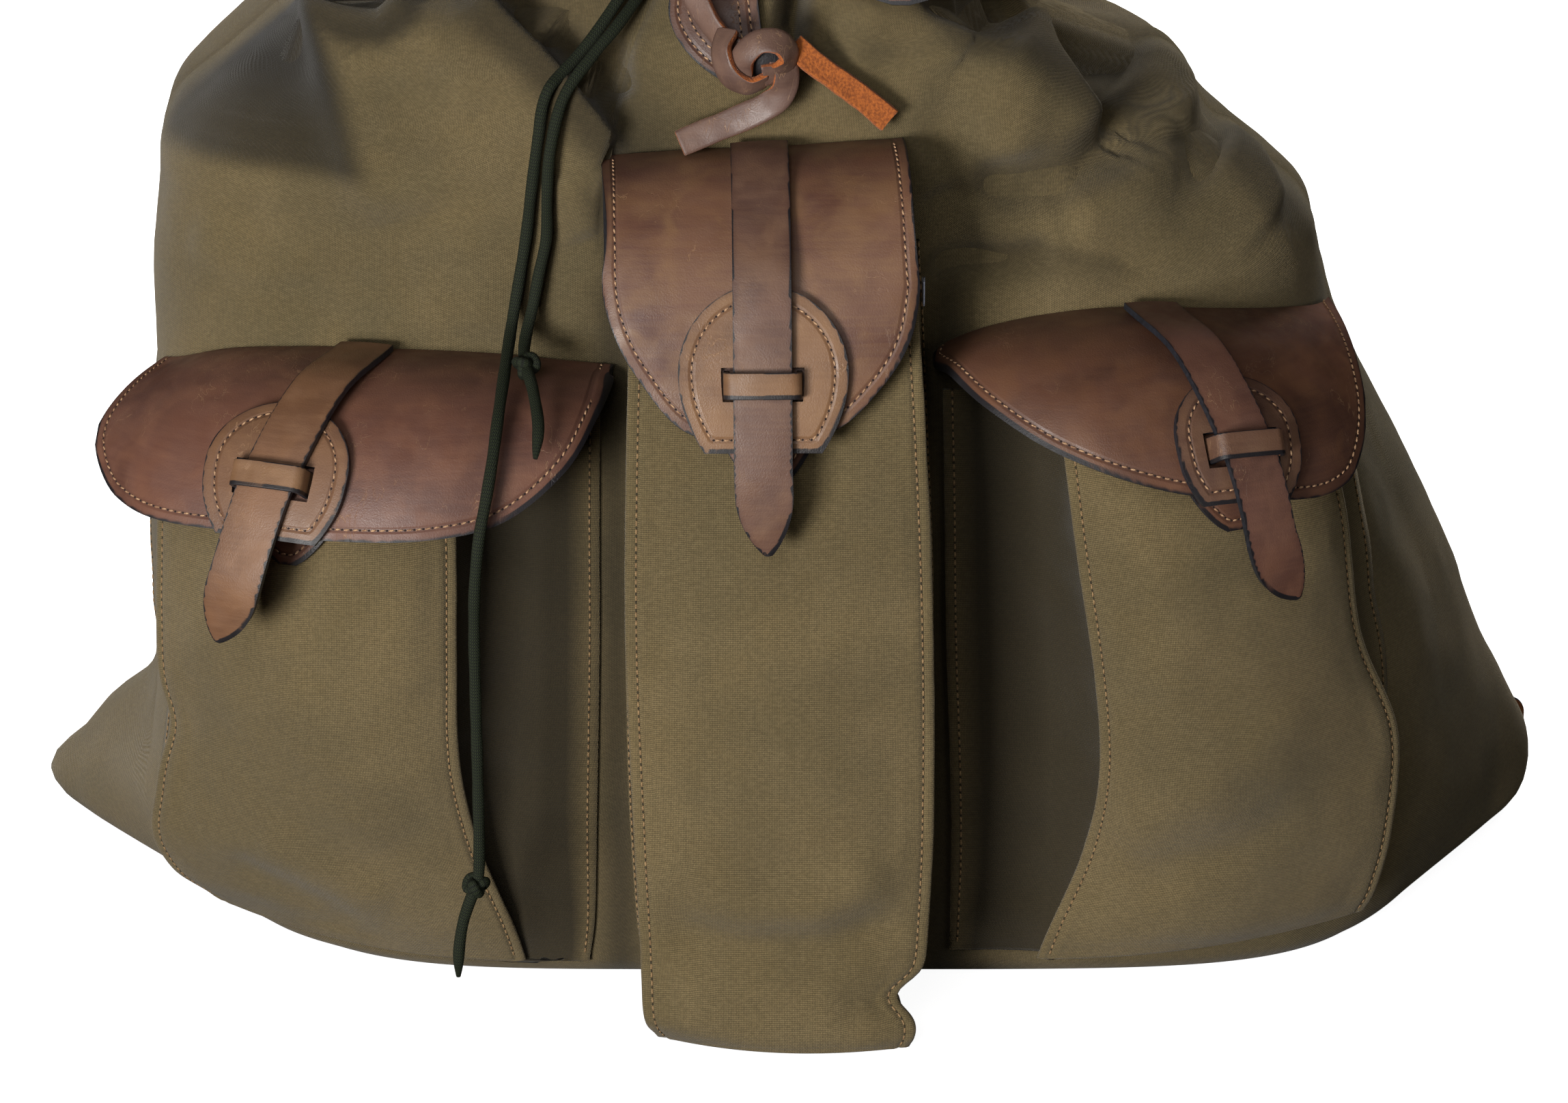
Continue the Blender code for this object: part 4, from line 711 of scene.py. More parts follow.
def sew(name, seams, thread, hole, pitch, size, slant=0.16):
    """Stitches along seams, each a small flattened bead of thread, with a dark needle hole between two."""
    length, width, height = size
    beads = []
    for line, facing in seams:
        both = spaced(np.concatenate([line, facing], axis=1), pitch)
        for start, end in zip(both, both[1:]):
            run = Vector(end[:3] - start[:3])
            if run.length > 2.5 * pitch or run.length < 0.3 * pitch:
                continue
            normal = Vector(start[3:] + end[3:]).normalized()
            along = (run - normal * run.dot(normal)).normalized()
            side = normal.cross(along)
            along = (along + side * slant).normalized()
            side = normal.cross(along)
            middle = Vector(to_part((start[:3] + end[:3]) / 2))
            hole_at = Vector(to_part(start[:3])) - normal * height * 0.2 * MM
            for at, long, wide, high, number in (
                (middle, length, width, height, 0),
                (hole_at, width * 1.5, width * 1.3, height * 0.7, 1),
            ):
                turn = Matrix((along * long, side * wide, normal * high)).transposed() * MM
                beads.append((Matrix.Translation(at) @ turn.to_4x4(), number))
    joined = bmesh.new()
    for first in range(0, len(beads), 24):
        shape = bmesh.new()
        for bead, number in beads[first : first + 24]:
            made = bmesh.ops.create_uvsphere(shape, u_segments=6, v_segments=4, radius=0.5, matrix=bead)
            for corner in made["verts"]:
                for face in corner.link_faces:
                    face.material_index = number
        few = bpy.data.meshes.new(name)
        shape.to_mesh(few)
        shape.free()
        joined.from_mesh(few)
        bpy.data.meshes.remove(few)
    mesh = bpy.data.meshes.new(name)
    joined.to_mesh(mesh)
    joined.free()
    return piece(name, mesh, (thread, hole))


# Materials


def paint(red, green, blue):
    """A colour from its 8-bit screen values."""
    linear = [((c / 255 + 0.055) / 1.055) ** 2.4 if c > 10 else c / 255 / 12.92 for c in (red, green, blue)]
    return (*linear, 1.0)


class Recipe:
    """A material being mixed: each call adds one node and gives its output."""

    def __init__(self, name, roughness, **fixed):
        self.material = bpy.data.materials.new(name)
        self.material.use_nodes = True
        self.links = self.material.node_tree.links
        self.nodes = self.material.node_tree.nodes
        self.shader = self.nodes["Principled BSDF"]
        self.shader.inputs["Roughness"].default_value = roughness
        for socket, value in fixed.items():
            self.shader.inputs[socket.replace("_", " ")].default_value = value
        self.place = self.add("TexCoord").outputs["Object"]

    def add(self, kind, inputs=(), **settings):
        made = self.nodes.new("ShaderNode" + kind)
        for setting, value in settings.items():
            setattr(made, setting, value)
        for number, value in inputs:
            if isinstance(value, bpy.types.NodeSocket):
                self.links.new(value, made.inputs[number])
            else:
                made.inputs[number].default_value = value
        return made

    def sum(self, operation, a, b=0.0):
        return self.add("Math", ((0, a), (1, b)), operation=operation).outputs[0]

    def clouds(self, size, detail=2.0, seed=0.0, stretch=(1.0, 1.0, 1.0), twist=0.0):
        """Noise from about 0.2 to 0.8, with patches about that many millimetres across."""
        scale = tuple(1.0 / (size * MM * s) for s in stretch)
        place = self.add("Mapping", ((0, self.place), (1, (seed, seed * 0.7, -seed)), (3, scale))).outputs[0]
        inputs = (("Vector", place), ("Scale", 1.0), ("Detail", detail), ("Distortion", twist))
        return self.add("TexNoise", inputs).outputs[0]

    def window(self, value, low, high, to_low=0.0, to_high=1.0):
        inputs = ((0, value), (1, low), (2, high), (3, to_low), (4, to_high))
        return self.add("MapRange", inputs, interpolation_type="SMOOTHSTEP").outputs[0]

    def mix(self, share, a, b):
        return self.add("Mix", ((0, share), (6, a), (7, b)), data_type="RGBA").outputs[2]

    def field(self, name):
        return self.add("Attribute", attribute_name=name).outputs["Fac"]

    def finish(self, colour, height=None, depth=0.2, strength=1.0, roughness=None):
        self.links.new(colour, self.shader.inputs["Base Color"])
        if height is not None:
            inputs = (("Strength", strength), ("Distance", depth * MM), ("Height", height))
            bump = self.add("Bump", inputs)
            self.links.new(bump.outputs[0], self.shader.inputs["Normal"])
        if roughness is not None:
            self.links.new(roughness, self.shader.inputs["Roughness"])
        return self.material


def canvas_finish(name, light, dark, seed=0.0):
    """Plain-woven cotton duck: threads from the sheet's own flat measure, with faded and stained patches,
    painted shade from the sheet's deep field, and painted shade in the gaps between threads.
    """
    mix = Recipe(name, 0.92, Sheen_Weight=0.12, Sheen_Roughness=0.5, Specular_IOR_Level=0.25)
    flat = mix.add("UVMap", uv_map="flat").outputs[0]
    split = mix.add("SeparateXYZ", ((0, flat),))
    wander = mix.clouds(4.0, 2.0, seed)
    slub = mix.sum("MULTIPLY", wander, 0.5)
    u = mix.sum("ADD", mix.sum("MULTIPLY", split.outputs[0], math.pi / WEAVE_ACROSS), slub)
    v = mix.sum("ADD", mix.sum("MULTIPLY", split.outputs[1], math.pi / WEAVE_UP), slub)
    warp, weft = mix.sum("SINE", u), mix.sum("SINE", v)
    over = mix.window(mix.sum("MULTIPLY", warp, weft), -0.35, 0.35)
    warp_high, weft_high = mix.sum("ABSOLUTE", warp), mix.sum("ABSOLUTE", weft)
    under = mix.sum("MULTIPLY", mix.sum("MULTIPLY", warp_high, 0.8), mix.sum("SUBTRACT", 1.0, over))
    height = mix.sum("ADD", mix.sum("MULTIPLY", weft_high, over), under)
    broad = mix.window(mix.clouds(70.0, 3.0, seed + 2.0, twist=0.4), 0.36, 0.64)
    specks = mix.window(mix.clouds(1.1, 1.0, seed + 1.0, stretch=(1.3, 1.3, 0.8)), 0.35, 0.65, 0.0, 0.3)
    patches = mix.window(mix.clouds(17.0, 3.0, seed + 5.0), 0.3, 0.7)
    thread = mix.clouds(1.4, 1.0, seed + 9.0, stretch=(2.0, 2.0, 0.7))
    colour = mix.mix(broad, dark, light)
    colour = mix.mix(mix.sum("MULTIPLY", patches, 0.3), colour, paint(114, 96, 60))
    colour = mix.mix(mix.window(thread, 0.3, 0.75, 0.0, 0.22), colour, paint(136, 120, 86))
    colour = mix.mix(specks, colour, paint(76, 66, 42))
    # Painted shade, from the sheet's deep field.
    colour = mix.mix(mix.field("deep"), colour, paint(30, 25, 15))
    # Painted shade in the gaps between the threads, where the weave lies low.
    colour = mix.mix(mix.window(height, 0.1, 0.75, 0.8, 0.0), colour, paint(34, 30, 18))
    nap = mix.sum("ADD", height, mix.sum("MULTIPLY", mix.clouds(0.5, 1.0), 0.35))
    return mix.finish(colour, nap, 0.22, 0.75)


LEATHER_ROUGHNESS = 0.48


def leather_finish(name, middle, dark, light, seed, seam, creases):
    """Oiled pull-up leather: cloudy tone, scuffs, fine wrinkles, pores, and a worn line along the edge."""
    mix = Recipe(name, LEATHER_ROUGHNESS, Specular_IOR_Level=0.42)
    broad = mix.window(mix.clouds(38.0, 3.0, seed, twist=0.8), 0.3, 0.68)
    patch = mix.window(mix.clouds(13.0, 4.0, seed + 3.0, twist=0.5), 0.4, 0.76)
    brushed = mix.window(mix.clouds(3.0, 3.0, seed + 1.0, stretch=(5.0, 5.0, 0.35)), 0.35, 0.7)
    colour = mix.mix(broad, dark, middle)
    colour = mix.mix(mix.sum("MULTIPLY", patch, 0.45), colour, light)
    colour = mix.mix(mix.sum("MULTIPLY", brushed, 0.16), colour, light)
    fine = mix.clouds(11.0, 5.0, seed + 7.0, stretch=(0.7, 1.0, 2.2), twist=1.4)
    line = mix.window(mix.sum("ABSOLUTE", mix.sum("SUBTRACT", fine, 0.5)), 0.0, 0.011, 1.0, 0.0)
    where = mix.window(mix.clouds(22.0, 2.0, seed + 11.0), 0.54 - creases, 0.68 - creases)
    scuff = mix.sum("MULTIPLY", line, where)
    colour = mix.mix(mix.sum("MULTIPLY", scuff, 0.4), colour, paint(168, 132, 98))
    pores = mix.clouds(0.55, 3.0, seed)
    grain = mix.sum("ADD", mix.sum("MULTIPLY", pores, 0.55), mix.sum("MULTIPLY", scuff, -0.35))
    edge = mix.field("edge")
    colour = mix.mix(mix.window(edge, 0.0, 2.2, 0.55, 0.0), colour, dark)
    colour = mix.mix(mix.window(mix.field("rim"), 0.1, 0.5, 0.96, 0.0), colour, paint(24, 25, 29))
    if seam:
        away = mix.sum("ABSOLUTE", mix.sum("SUBTRACT", edge, seam))
        groove = mix.window(away, 0.25, 1.3, 1.0, 0.0)
        colour = mix.mix(mix.sum("MULTIPLY", groove, 0.55), colour, dark)
        grain = mix.sum("SUBTRACT", grain, mix.sum("MULTIPLY", groove, 1.6))
    worn = mix.clouds(9.0, 3.0, seed + 4.0)
    shine = mix.window(worn, 0.3, 0.7, LEATHER_ROUGHNESS - 0.08, LEATHER_ROUGHNESS + 0.12)
    return mix.finish(colour, grain, 0.3, 0.6, shine)


LEATHERS = {}


def plain_finish(name, tone, other, size, roughness, depth=0.1, strength=0.5, **fixed):
    mix = Recipe(name, roughness, **fixed)
    cloud = mix.clouds(size, 3.0)
    return mix.finish(mix.mix(mix.window(cloud, 0.3, 0.7), tone, other), cloud, depth, strength)


def cord_finish():
    """A braided cover: two sets of strands that cross, from the cord's own flat measure."""
    mix = Recipe("braided_green", 0.75, Specular_IOR_Level=0.3)
    split = mix.add("SeparateXYZ", ((0, mix.add("UVMap", uv_map="flat").outputs[0]),))
    turn = mix.sum("MULTIPLY", split.outputs[0], 16 * math.pi / (math.pi * CORD_DIAMETER))
    run = mix.sum("MULTIPLY", split.outputs[1], math.pi / 1.15)
    one = mix.sum("SINE", mix.sum("ADD", turn, run))
    other = mix.sum("SINE", mix.sum("SUBTRACT", turn, run))
    braid = mix.sum("MAXIMUM", mix.sum("ABSOLUTE", one), mix.sum("MULTIPLY", mix.sum("ABSOLUTE", other), 0.9))
    cross = mix.window(mix.sum("MULTIPLY", one, other), -0.4, 0.4)
    colour = mix.mix(cross, paint(17, 22, 12), paint(34, 41, 22))
    # Painted shade in the gaps between the strands, where the braid lies low.
    colour = mix.mix(mix.window(braid, 0.35, 0.9, 0.85, 0.0), colour, paint(8, 10, 6))
    return mix.finish(colour, braid, 0.35, 0.8)


# middle, dark, light, seed, how far in the seam is, creases
LEATHER_TONES = {
    "flap_centre": ((110, 78, 60), (86, 58, 49), (132, 100, 68), 1.0, 3.9, 0.0),
    "flap_left": ((104, 70, 57), (84, 56, 47), (124, 86, 66), 4.0, 3.9, 0.05),
    "flap_right": ((97, 65, 50), (74, 50, 41), (114, 79, 55), 9.0, 3.9, 0.0),
    "tab_right": ((100, 72, 56), (80, 56, 47), (118, 88, 66), 2.4, 4.4, 0.0),
    "tab_left": ((112, 81, 59), (92, 64, 48), (130, 97, 70), 2.8, 4.4, 0.0),
    "keeper_right": ((104, 75, 58), (86, 61, 49), (122, 92, 70), 7.5, 0.0, 0.0),
    "tab": ((122, 89, 62), (98, 69, 49), (140, 106, 73), 2.0, 4.4, 0.0),
    "anchor": ((104, 70, 54), (82, 54, 44), (124, 88, 64), 5.0, 3.6, 0.0),
    "keeper": ((122, 90, 62), (102, 73, 52), (142, 108, 78), 7.0, 0.0, 0.0),
    "strap_centre": ((102, 74, 61), (80, 57, 49), (126, 96, 74), 3.0, 0.0, 0.0),
    "strap_left": ((118, 84, 60), (96, 67, 48), (136, 101, 74), 6.0, 0.0, 0.0),
    "strap_right": ((100, 68, 56), (80, 54, 46), (120, 84, 66), 8.0, 0.0, 0.0),
    "neck_patch": ((92, 62, 48), (70, 46, 38), (112, 80, 60), 2.5, 3.2, 0.0),
    "lace": ((104, 80, 70), (84, 62, 54), (128, 100, 84), 1.5, 0.0, 0.1),
    "lid": ((98, 68, 54), (76, 52, 44), (122, 90, 68), 3.5, 6.0, 0.0),
    "yoke": ((98, 68, 52), (78, 54, 42), (120, 88, 64), 4.5, 5.0, 0.0),
    "shoulder_strap": ((104, 74, 56), (82, 58, 46), (128, 94, 68), 5.5, 4.5, 0.0),
    "corner_tab": ((98, 70, 54), (78, 54, 44), (120, 88, 66), 6.5, 3.6, 0.0),
}

CANVAS_GREEN = canvas_finish("canvas_green", paint(120, 104, 72), paint(100, 88, 61))
POCKET_GREEN = canvas_finish("canvas_pocket", paint(124, 107, 74), paint(106, 92, 63), 4.0)
EDGE_PAINT = plain_finish("edge_paint", paint(20, 22, 27), paint(36, 38, 46), 1.2, 0.5, 0.1, 0.4)
FLESH_SIDE = plain_finish("flesh_side", paint(128, 78, 44), paint(98, 58, 34), 0.8, 0.9, 0.3, 0.8)
SUEDE = plain_finish(
    "orange_suede", paint(168, 92, 36), paint(128, 66, 26), 0.9, 0.95, 0.5, 1.0, Sheen_Weight=0.1
)
THREAD = plain_finish("tan_thread", paint(190, 154, 118), paint(128, 92, 66), 0.9, 0.8, 0.15, 0.6)
SEAM_THREAD = plain_finish("brown_thread", paint(150, 122, 84), paint(112, 86, 58), 0.5, 0.85, 0.15, 0.6)
NEEDLE_HOLE = plain_finish("needle_hole", paint(30, 18, 14), paint(40, 24, 18), 1.0, 0.9)
SEAM_HOLE = plain_finish("canvas_seam_hole", paint(56, 48, 30), paint(44, 38, 24), 1.0, 0.95)
TAG_CLOTH = plain_finish("tag_cloth", paint(196, 200, 214), paint(168, 172, 190), 1.0, 0.85)
BRAID = cord_finish()


# The camera


LENS = 134.84
CAMERA_PLACE = (0.0, -1.9528, 0.84499)
CAMERA_TILT = 70.0


def make_camera():
    data = bpy.data.cameras.new("photograph")
    data.lens = LENS
    data.sensor_width = 36.0
    data.clip_start = 0.05
    made = bpy.data.objects.new("photograph", data)
    made.location = CAMERA_PLACE
    made.rotation_euler = (math.radians(CAMERA_TILT), 0.0, 0.0)
    bpy.context.scene.collection.objects.link(made)
    bpy.context.scene.camera = made


# The drawcords


def tube(name, line, radii, around=12):
    """A round tube along a line, with the flat measure of its cover."""
    tangent = unit(np.gradient(line, axis=0))
    side = unit(np.cross(tangent, np.array([0.31, -0.9, 0.12])))
    other = np.cross(tangent, side)
    turns = np.linspace(0, 2 * math.pi, around + 1)
    ring = side[None] * np.cos(turns)[:, None, None] + other[None] * np.sin(turns)[:, None, None]
    points = line[None] + ring * radii[None, :, None]
    across = np.repeat(turns[:, None] * CORD_DIAMETER / 2, len(line), axis=1)
    along = np.repeat(travelled(line)[None], around + 1, axis=0)
    return lay(name, points, measure=(across, along))


def closed_tube(name, line, radii, around=12):
    """A tube whose two ends are drawn to a point."""
    line = np.concatenate([line[:1], line, line[-1:]])
    line[0] -= (line[2] - line[1]) * 0.01
    line[-1] += (line[-2] - line[-3]) * 0.01
    radii = np.concatenate([[0.0], radii, [0.0]])
    return tube(name, line, radii, around)


def overhand(name, centre, facing):
    """An overhand knot, drawn tight: a trefoil of the cord."""
    t = np.linspace(0, 2 * math.pi, 90)
    loop = np.stack([
        np.sin(t) + 2 * np.sin(2 * t),
        np.cos(t) - 2 * np.cos(2 * t),
        -1.5 * np.sin(3 * t),
    ], -1) * 1.12
    across = unit(np.cross(facing, [0.0, 1.0, 0.1]))
    other = np.cross(across, facing)
    line = centre + loop[:, :1] * across + loop[:, 1:2] * other + loop[:, 2:] * facing
    return tube(name, line, np.full(len(line), 1.75), 10)


def clear_of_sack(path):
    """The path, pushed off the sack where a fold would cover it."""
    lifts = []
    for across, up in ((0, 0), (4, 0), (-4, 0), (0, 4), (0, -4)):
        height = sack_height(np.minimum(path[:, 2] + up, NECK_HEIGHT))
        angle = front_angle(path[:, 0] + across, height)
        moved = sack_surface(angle, height) - sack_base(angle, height)
        lifts.append((moved * sack_normal(angle, height)).sum(-1))
    height = sack_height(path[:, 2])
    angle = front_angle(path[:, 0], height)
    normal = sack_normal(angle, height)
    off = ((path - sack_base(angle, height)) * normal).sum(-1)
    push = np.maximum(np.max(lifts, axis=0) + CORD_DIAMETER / 2 + 0.4 - off, 0.0)
    push *= ease(238.0, 252.0, path[:, 2])
    push[0] = 0.0
    padded = np.concatenate([push[:1].repeat(2), push, push[-1:].repeat(2)])
    push = np.maximum(np.convolve(padded, (0.1, 0.2, 0.4, 0.2, 0.1), "valid"), push * 0.9)
    return path + normal * push[:, None]


def make_cord(name):
    rows = CORD_ROWS[name]
    path = clear_of_sack(sampled(rows, 3 * len(rows)))
    line = sampled(path, 14 * len(rows))
    far = travelled(line)
    drawn_in = ease(far[-1] + 3.0, far[-1] - 9.0, far) ** 0.5
    radii = CORD_DIAMETER / 2 * (1 + 0.03 * np.sin(far / 3.1)) * drawn_in
    radii = np.maximum(radii, 0.5)
    cord = piece("braid_" + name, closed_tube(name, line, radii), (BRAID,), (name,))
    where, turn = KNOTS[name]
    fine = sampled(rows, 1 + 10 * (len(rows) - 1))
    centre, ahead = fine[round(where * 10)], fine[round(where * 10) + 3]
    facing = unit(ahead - centre + np.array([turn, 0.0, 0.0]))
    knot = piece("knot_" + name, overhand(name, centre, facing), (BRAID,))


# The sack


def sack_angles(count):
    """Angles round the sack, from the middle of its back, closest together on its front."""
    fine = np.linspace(math.pi / 2, 2.5 * math.pi, 6001)
    ring = sack_base(fine, 240.0)
    middle = (fine[1:] + fine[:-1]) / 2
    on_it = (ring[1:] + ring[:-1]) / 2
    front = ease(0.3, -0.3, np.sin(middle))
    weight = 0.24 + 0.76 * front + 1.1 * front * np.exp(-(((on_it[:, 0] - 2.0) / 13.0) ** 2))
    far = np.concatenate([[0.0], np.cumsum(np.linalg.norm(np.diff(ring, axis=0), axis=-1) * weight)])
    return np.interp(np.linspace(0, far[-1], count + 1), far, fine)


def sack_heights():
    """Heights up the sack, closest together on its shoulders."""
    fine = np.linspace(0, 1, 2001)
    line = sack_base(1.5 * math.pi, WALL_TOP + fine)
    far = travelled(line)
    ups = np.interp(np.linspace(0, far[-1], 106), far, fine)
    return np.concatenate([
        [0.0, 0.8, 2.0, 3.8, 6.0, 9.0, 13.0], np.arange(18.0, 200.0, 5.0), np.arange(200.0, 249.0, 2.5),
        WALL_TOP + ups,
    ])


def shadowed(x, z):
    """How much shade is painted on the sack's front, from 0 to 1: along the hollows beside its folds."""
    # Painted shade on the dark side left of the ridge on the upper left, more of it higher up.
    ridge = -137.0 - (z - 296.0) * 0.33
    left = ease(ridge + 3.0, ridge - 9.0, x) * ease(287.0, 297.0, z)
    painted_shade = left * (0.8 + 0.2 * ease(300.0, 326.0, z))
    at = np.stack([x, z], -1)
    for line, reach, amount in PAINTED_SHADE_LINES:
        line = np.array(line, float)
        nearest = np.full(x.shape, 1e9)
        for start, end in zip(line, line[1:]):
            _, away, side = beside(start, end, at)
            nearest = np.minimum(nearest, np.where(side > 0, away, 3.0 * away))
        painted_shade = np.maximum(painted_shade, amount * np.exp(-((nearest / reach) ** 2)))
    return painted_shade


def make_sack():
    angles = sack_angles(290)
    heights = sack_heights()
    outer = sack_surface(angles[:, None], heights[None, :])
    pole = outer[:, :1].mean(axis=0, keepdims=True) * [1, 1, 0]
    rings = [pole + (outer[:, :1] - pole) * share for share in (0.0, 0.4, 0.75, 0.95)]
    floor = np.concatenate(rings, axis=1)
    rim = outer[:, -1:] + np.array([0.0, 0.0, 0.8])
    inner_heights = np.concatenate([
        WALL_TOP + np.array([0.985, 0.93, 0.85, 0.74, 0.62, 0.5, 0.34, 0.16]),
        [240.0, 205.0, 160.0, 115.0, 70.0, 30.0, 8.0, 3.0],
    ])
    inner = sack_surface(angles[:, None], inner_heights[None, :])
    inner -= sack_normal(angles[:, None], inner_heights[None, :]) * 3.0
    inner[..., 2] = np.maximum(inner[..., 2], 2.0)
    inner_pole = inner[:, -1:].mean(axis=0, keepdims=True)
    inside = [inner_pole + (inner[:, -1:] - inner_pole) * share for share in (0.6, 0.0)]
    points = np.concatenate([floor, outer, rim, inner, *inside], axis=1)
    measure = flat_measure(points)
    front = ease(0.0, -0.2, np.sin(angles))[:, None]
    # Painted shade on the front: in the hollows beside the folds, and in strips between the pockets.
    between = np.maximum(
        np.exp(-(((points[..., 0] + 57.0) / 8.0) ** 2)), np.exp(-(((points[..., 0] - 55.0) / 8.0) ** 2))
    ) * ease(272.0, 250.0, points[..., 2]) * 0.7
    deep = np.maximum(shadowed(points[..., 0], points[..., 2]), between) * front
    mesh = lay("canvas_sack", points, fields={"deep": deep}, measure=measure)
    piece("canvas_sack", mesh, (CANVAS_GREEN,), ("sack",))
    return grid_tree(outer)


# The pockets


def make_pocket(name, sack_tree):
    """A gusset pocket, whose front panel is sewn to its gusset in a standing seam."""
    levels = np.concatenate([np.linspace(0, 5, 76), np.linspace(5, 6, 18)[1:]])
    row = np.moveaxis(smooth(POCKET_ROWS[name], levels), -1, 0)
    _, z_in, z_out, seam_in, in_x, in_y, mid_x, mid_y, out_x, out_y, seam_out = row
    for height, amount, width in NOTCHES[name]:
        pucker = amount * np.exp(-(((z_out - height) / width) ** 2))
        out_x = out_x + pucker
        seam_out = seam_out + pucker
    sign = math.copysign(1.0, POCKET_ROWS[name][0][10] - POCKET_ROWS[name][0][3])
    edges = {"in": np.stack([in_x, in_y, z_in], -1), "out": np.stack([out_x, out_y, z_out], -1)}
    middle = np.stack([mid_x, mid_y, (z_in + z_out) / 2], -1)
    control = middle * 2 - (edges["in"] + edges["out"]) / 2

    def panel(t):
        return edges["in"] * (1 - t) ** 2 + control * 2 * t * (1 - t) + edges["out"] * t**2

    def side(end):
        """The gusset and the standing seam on one side, from the sack to the panel."""
        seam, z, way = (seam_in, z_in, 1.0) if end == "in" else (seam_out, z_out, -1.0)
        root = snapped(sack_tree, on_front(seam, z), CANVAS + 0.3)
        root[:, 2] = np.maximum(z, LOWEST)
        inward = unit(on_front(seam + way * sign * 2.0, z) - on_front(seam, z))
        edge = edges[end]
        into = unit((panel(0.05) - edge) if end == "in" else (panel(0.95) - edge))
        face = unit(np.cross(into, [0.0, 0.0, 1.0]))
        face = face * -np.sign(face[:, 1:2])
        foot = edge + into * 3.9 - face * 2.7
        if end == "out" and name in GUSSET_TUCK:
            height, amount, width = GUSSET_TUCK[name]
            root[:, 0] += amount * ease(height + width, height - width, z)
        reach = np.linalg.norm(foot - root, axis=-1, keepdims=True)
        level = np.abs(((root - foot) * inward).sum(-1, keepdims=True))
        leave = root + inward * np.clip(0.9 * level, 3.0, 40.0)
        deep = np.sqrt(np.maximum(reach**2 - level**2, 9.0))
        arrive = foot + np.array([0.0, 0.62, -0.04]) * deep + into * 1.5
        gusset = [
            root * (1 - t) ** 3 + leave * 3 * t * (1 - t) ** 2 + arrive * 3 * t**2 * (1 - t) + foot * t**3
            for t in np.linspace(0, 1, 23) ** 1.15
        ]
        return gusset + [edge + into * a + face * b for a, b in RIDGE]

    length = np.linalg.norm(edges["out"] - edges["in"], axis=-1, keepdims=True)
    start = 7.5 / length
    face_line = [panel(start + (1 - 2 * start) * k / 52) for k in range(53)]
    inner_side = side("in")
    count = len(inner_side)
    points = np.stack(inner_side + face_line + side("out")[::-1])
    soft = np.ones(len(points))
    soft[STIFF_FROM : count + 1] = STIFF
    soft[-count - 1 : -STIFF_FROM] = STIFF
    number = np.arange(len(points))
    soft = soft * ease(0, 9, number) * ease(len(points) - 1, len(points) - 10, number)
    normals = grid_normals(points)
    normals *= -np.sign(normals[len(points) // 2, len(levels) // 2, 1])
    rise, _ = fold_field(POCKET_FOLDS[name], points[..., [0, 2]])
    on_panel = np.zeros(len(points))
    on_panel[count : len(points) - count] = 1.0
    panel_share = np.clip(np.convolve(on_panel, np.ones(9) / 9, "same"), 0, 1)
    seed = 11.0 + len(name)
    swell = 1.1 * ripple(points, 42.0, seed) + 0.5 * ripple(points, 17.0, seed + 3)
    swell += 0.2 * ripple(points, 8.0, seed)
    gusset_swell = 1.8 * ripple(points, 26.0, seed + 8, (1.0, 1.0, 1.6))
    gusset_swell += 0.9 * ripple(points, 12.0, seed + 5)
    lift = swell * soft[:, None] + (rise * panel_share[:, None])
    lift += gusset_swell * (soft * (1 - panel_share))[:, None]
    lift *= ease(len(levels) - 1, len(levels) - 8, np.arange(len(levels)))[None]
    points = points + normals * lift[..., None]
    lying = count - 9
    points[:lying] = kept_off(sack_tree, points[:lying], CANVAS + 0.4)
    points[-lying:] = kept_off(sack_tree, points[-lying:], CANVAS + 0.4)
    points[..., 2] = np.maximum(points[..., 2], LOWEST)
    angle_in = front_angle(seam_in[-1], sack_height(z_in[-1]))
    angle_out = front_angle(seam_out[-1], sack_height(z_out[-1]))
    share = np.linspace(0, 1, len(points))
    heights = sack_height(z_in[-1] + (z_out[-1] - z_in[-1]) * share)
    back = sack_base(angle_in + (angle_out - angle_in) * share, heights)
    back = snapped(sack_tree, back, CANVAS + 0.3)
    back[0], back[-1] = points[0, -1], points[-1, -1]
    last = points[:, -1]
    under = []
    for share in (0.02, 0.06, 0.14, 0.3, 0.5, 0.75, 1.0):
        ring = last + (back - last) * share
        ring[:, 2] -= 1.2 * math.sin(min(share * 6, 1.0) * math.pi / 2)
        ring[:, 2] = np.maximum(ring[:, 2], LOWEST - 0.1)
        under.append(ring)
    points = np.concatenate([points, np.stack(under, axis=1)], axis=1)
    # Painted shade on the gussets, on their inner and outer sides.
    cover = np.zeros(len(points))
    cover[2:lying], cover[-lying:-2] = GUSSET_PAINTED_SHADE[name]
    cover = np.convolve(cover, np.ones(3) / 3, "same")
    deep = np.repeat(cover[:, None], points.shape[1], axis=1)
    mesh = lay("canvas_" + name, points, outside=(0, -1, 0.0), fields={"deep": deep})
    made = piece("canvas_" + name, mesh, (POCKET_GREEN,), (name,))
    thicken(made, CANVAS, -1.0)
    ridge_column = count - 3
    whole = len(levels) - 2
    seams = []
    facing = grid_normals(points)
    facing *= -np.sign(facing[len(points) // 2, 30, 1])
    for column in (ridge_column, len(points) - 1 - ridge_column):
        seams.append((points[column, :whole] + facing[column, :whole] * 0.25, facing[column, :whole]))
    for column in (1, len(points) - 2):
        line, way = points[column, :whole], facing[column, :whole]
        seams.append((line + way * 0.15, way))
    sew("stitching_" + name, seams, SEAM_THREAD, SEAM_HOLE, 2.9, (2.3, 0.75, 0.6), 0.0)
    return made


# The flaps and their closures


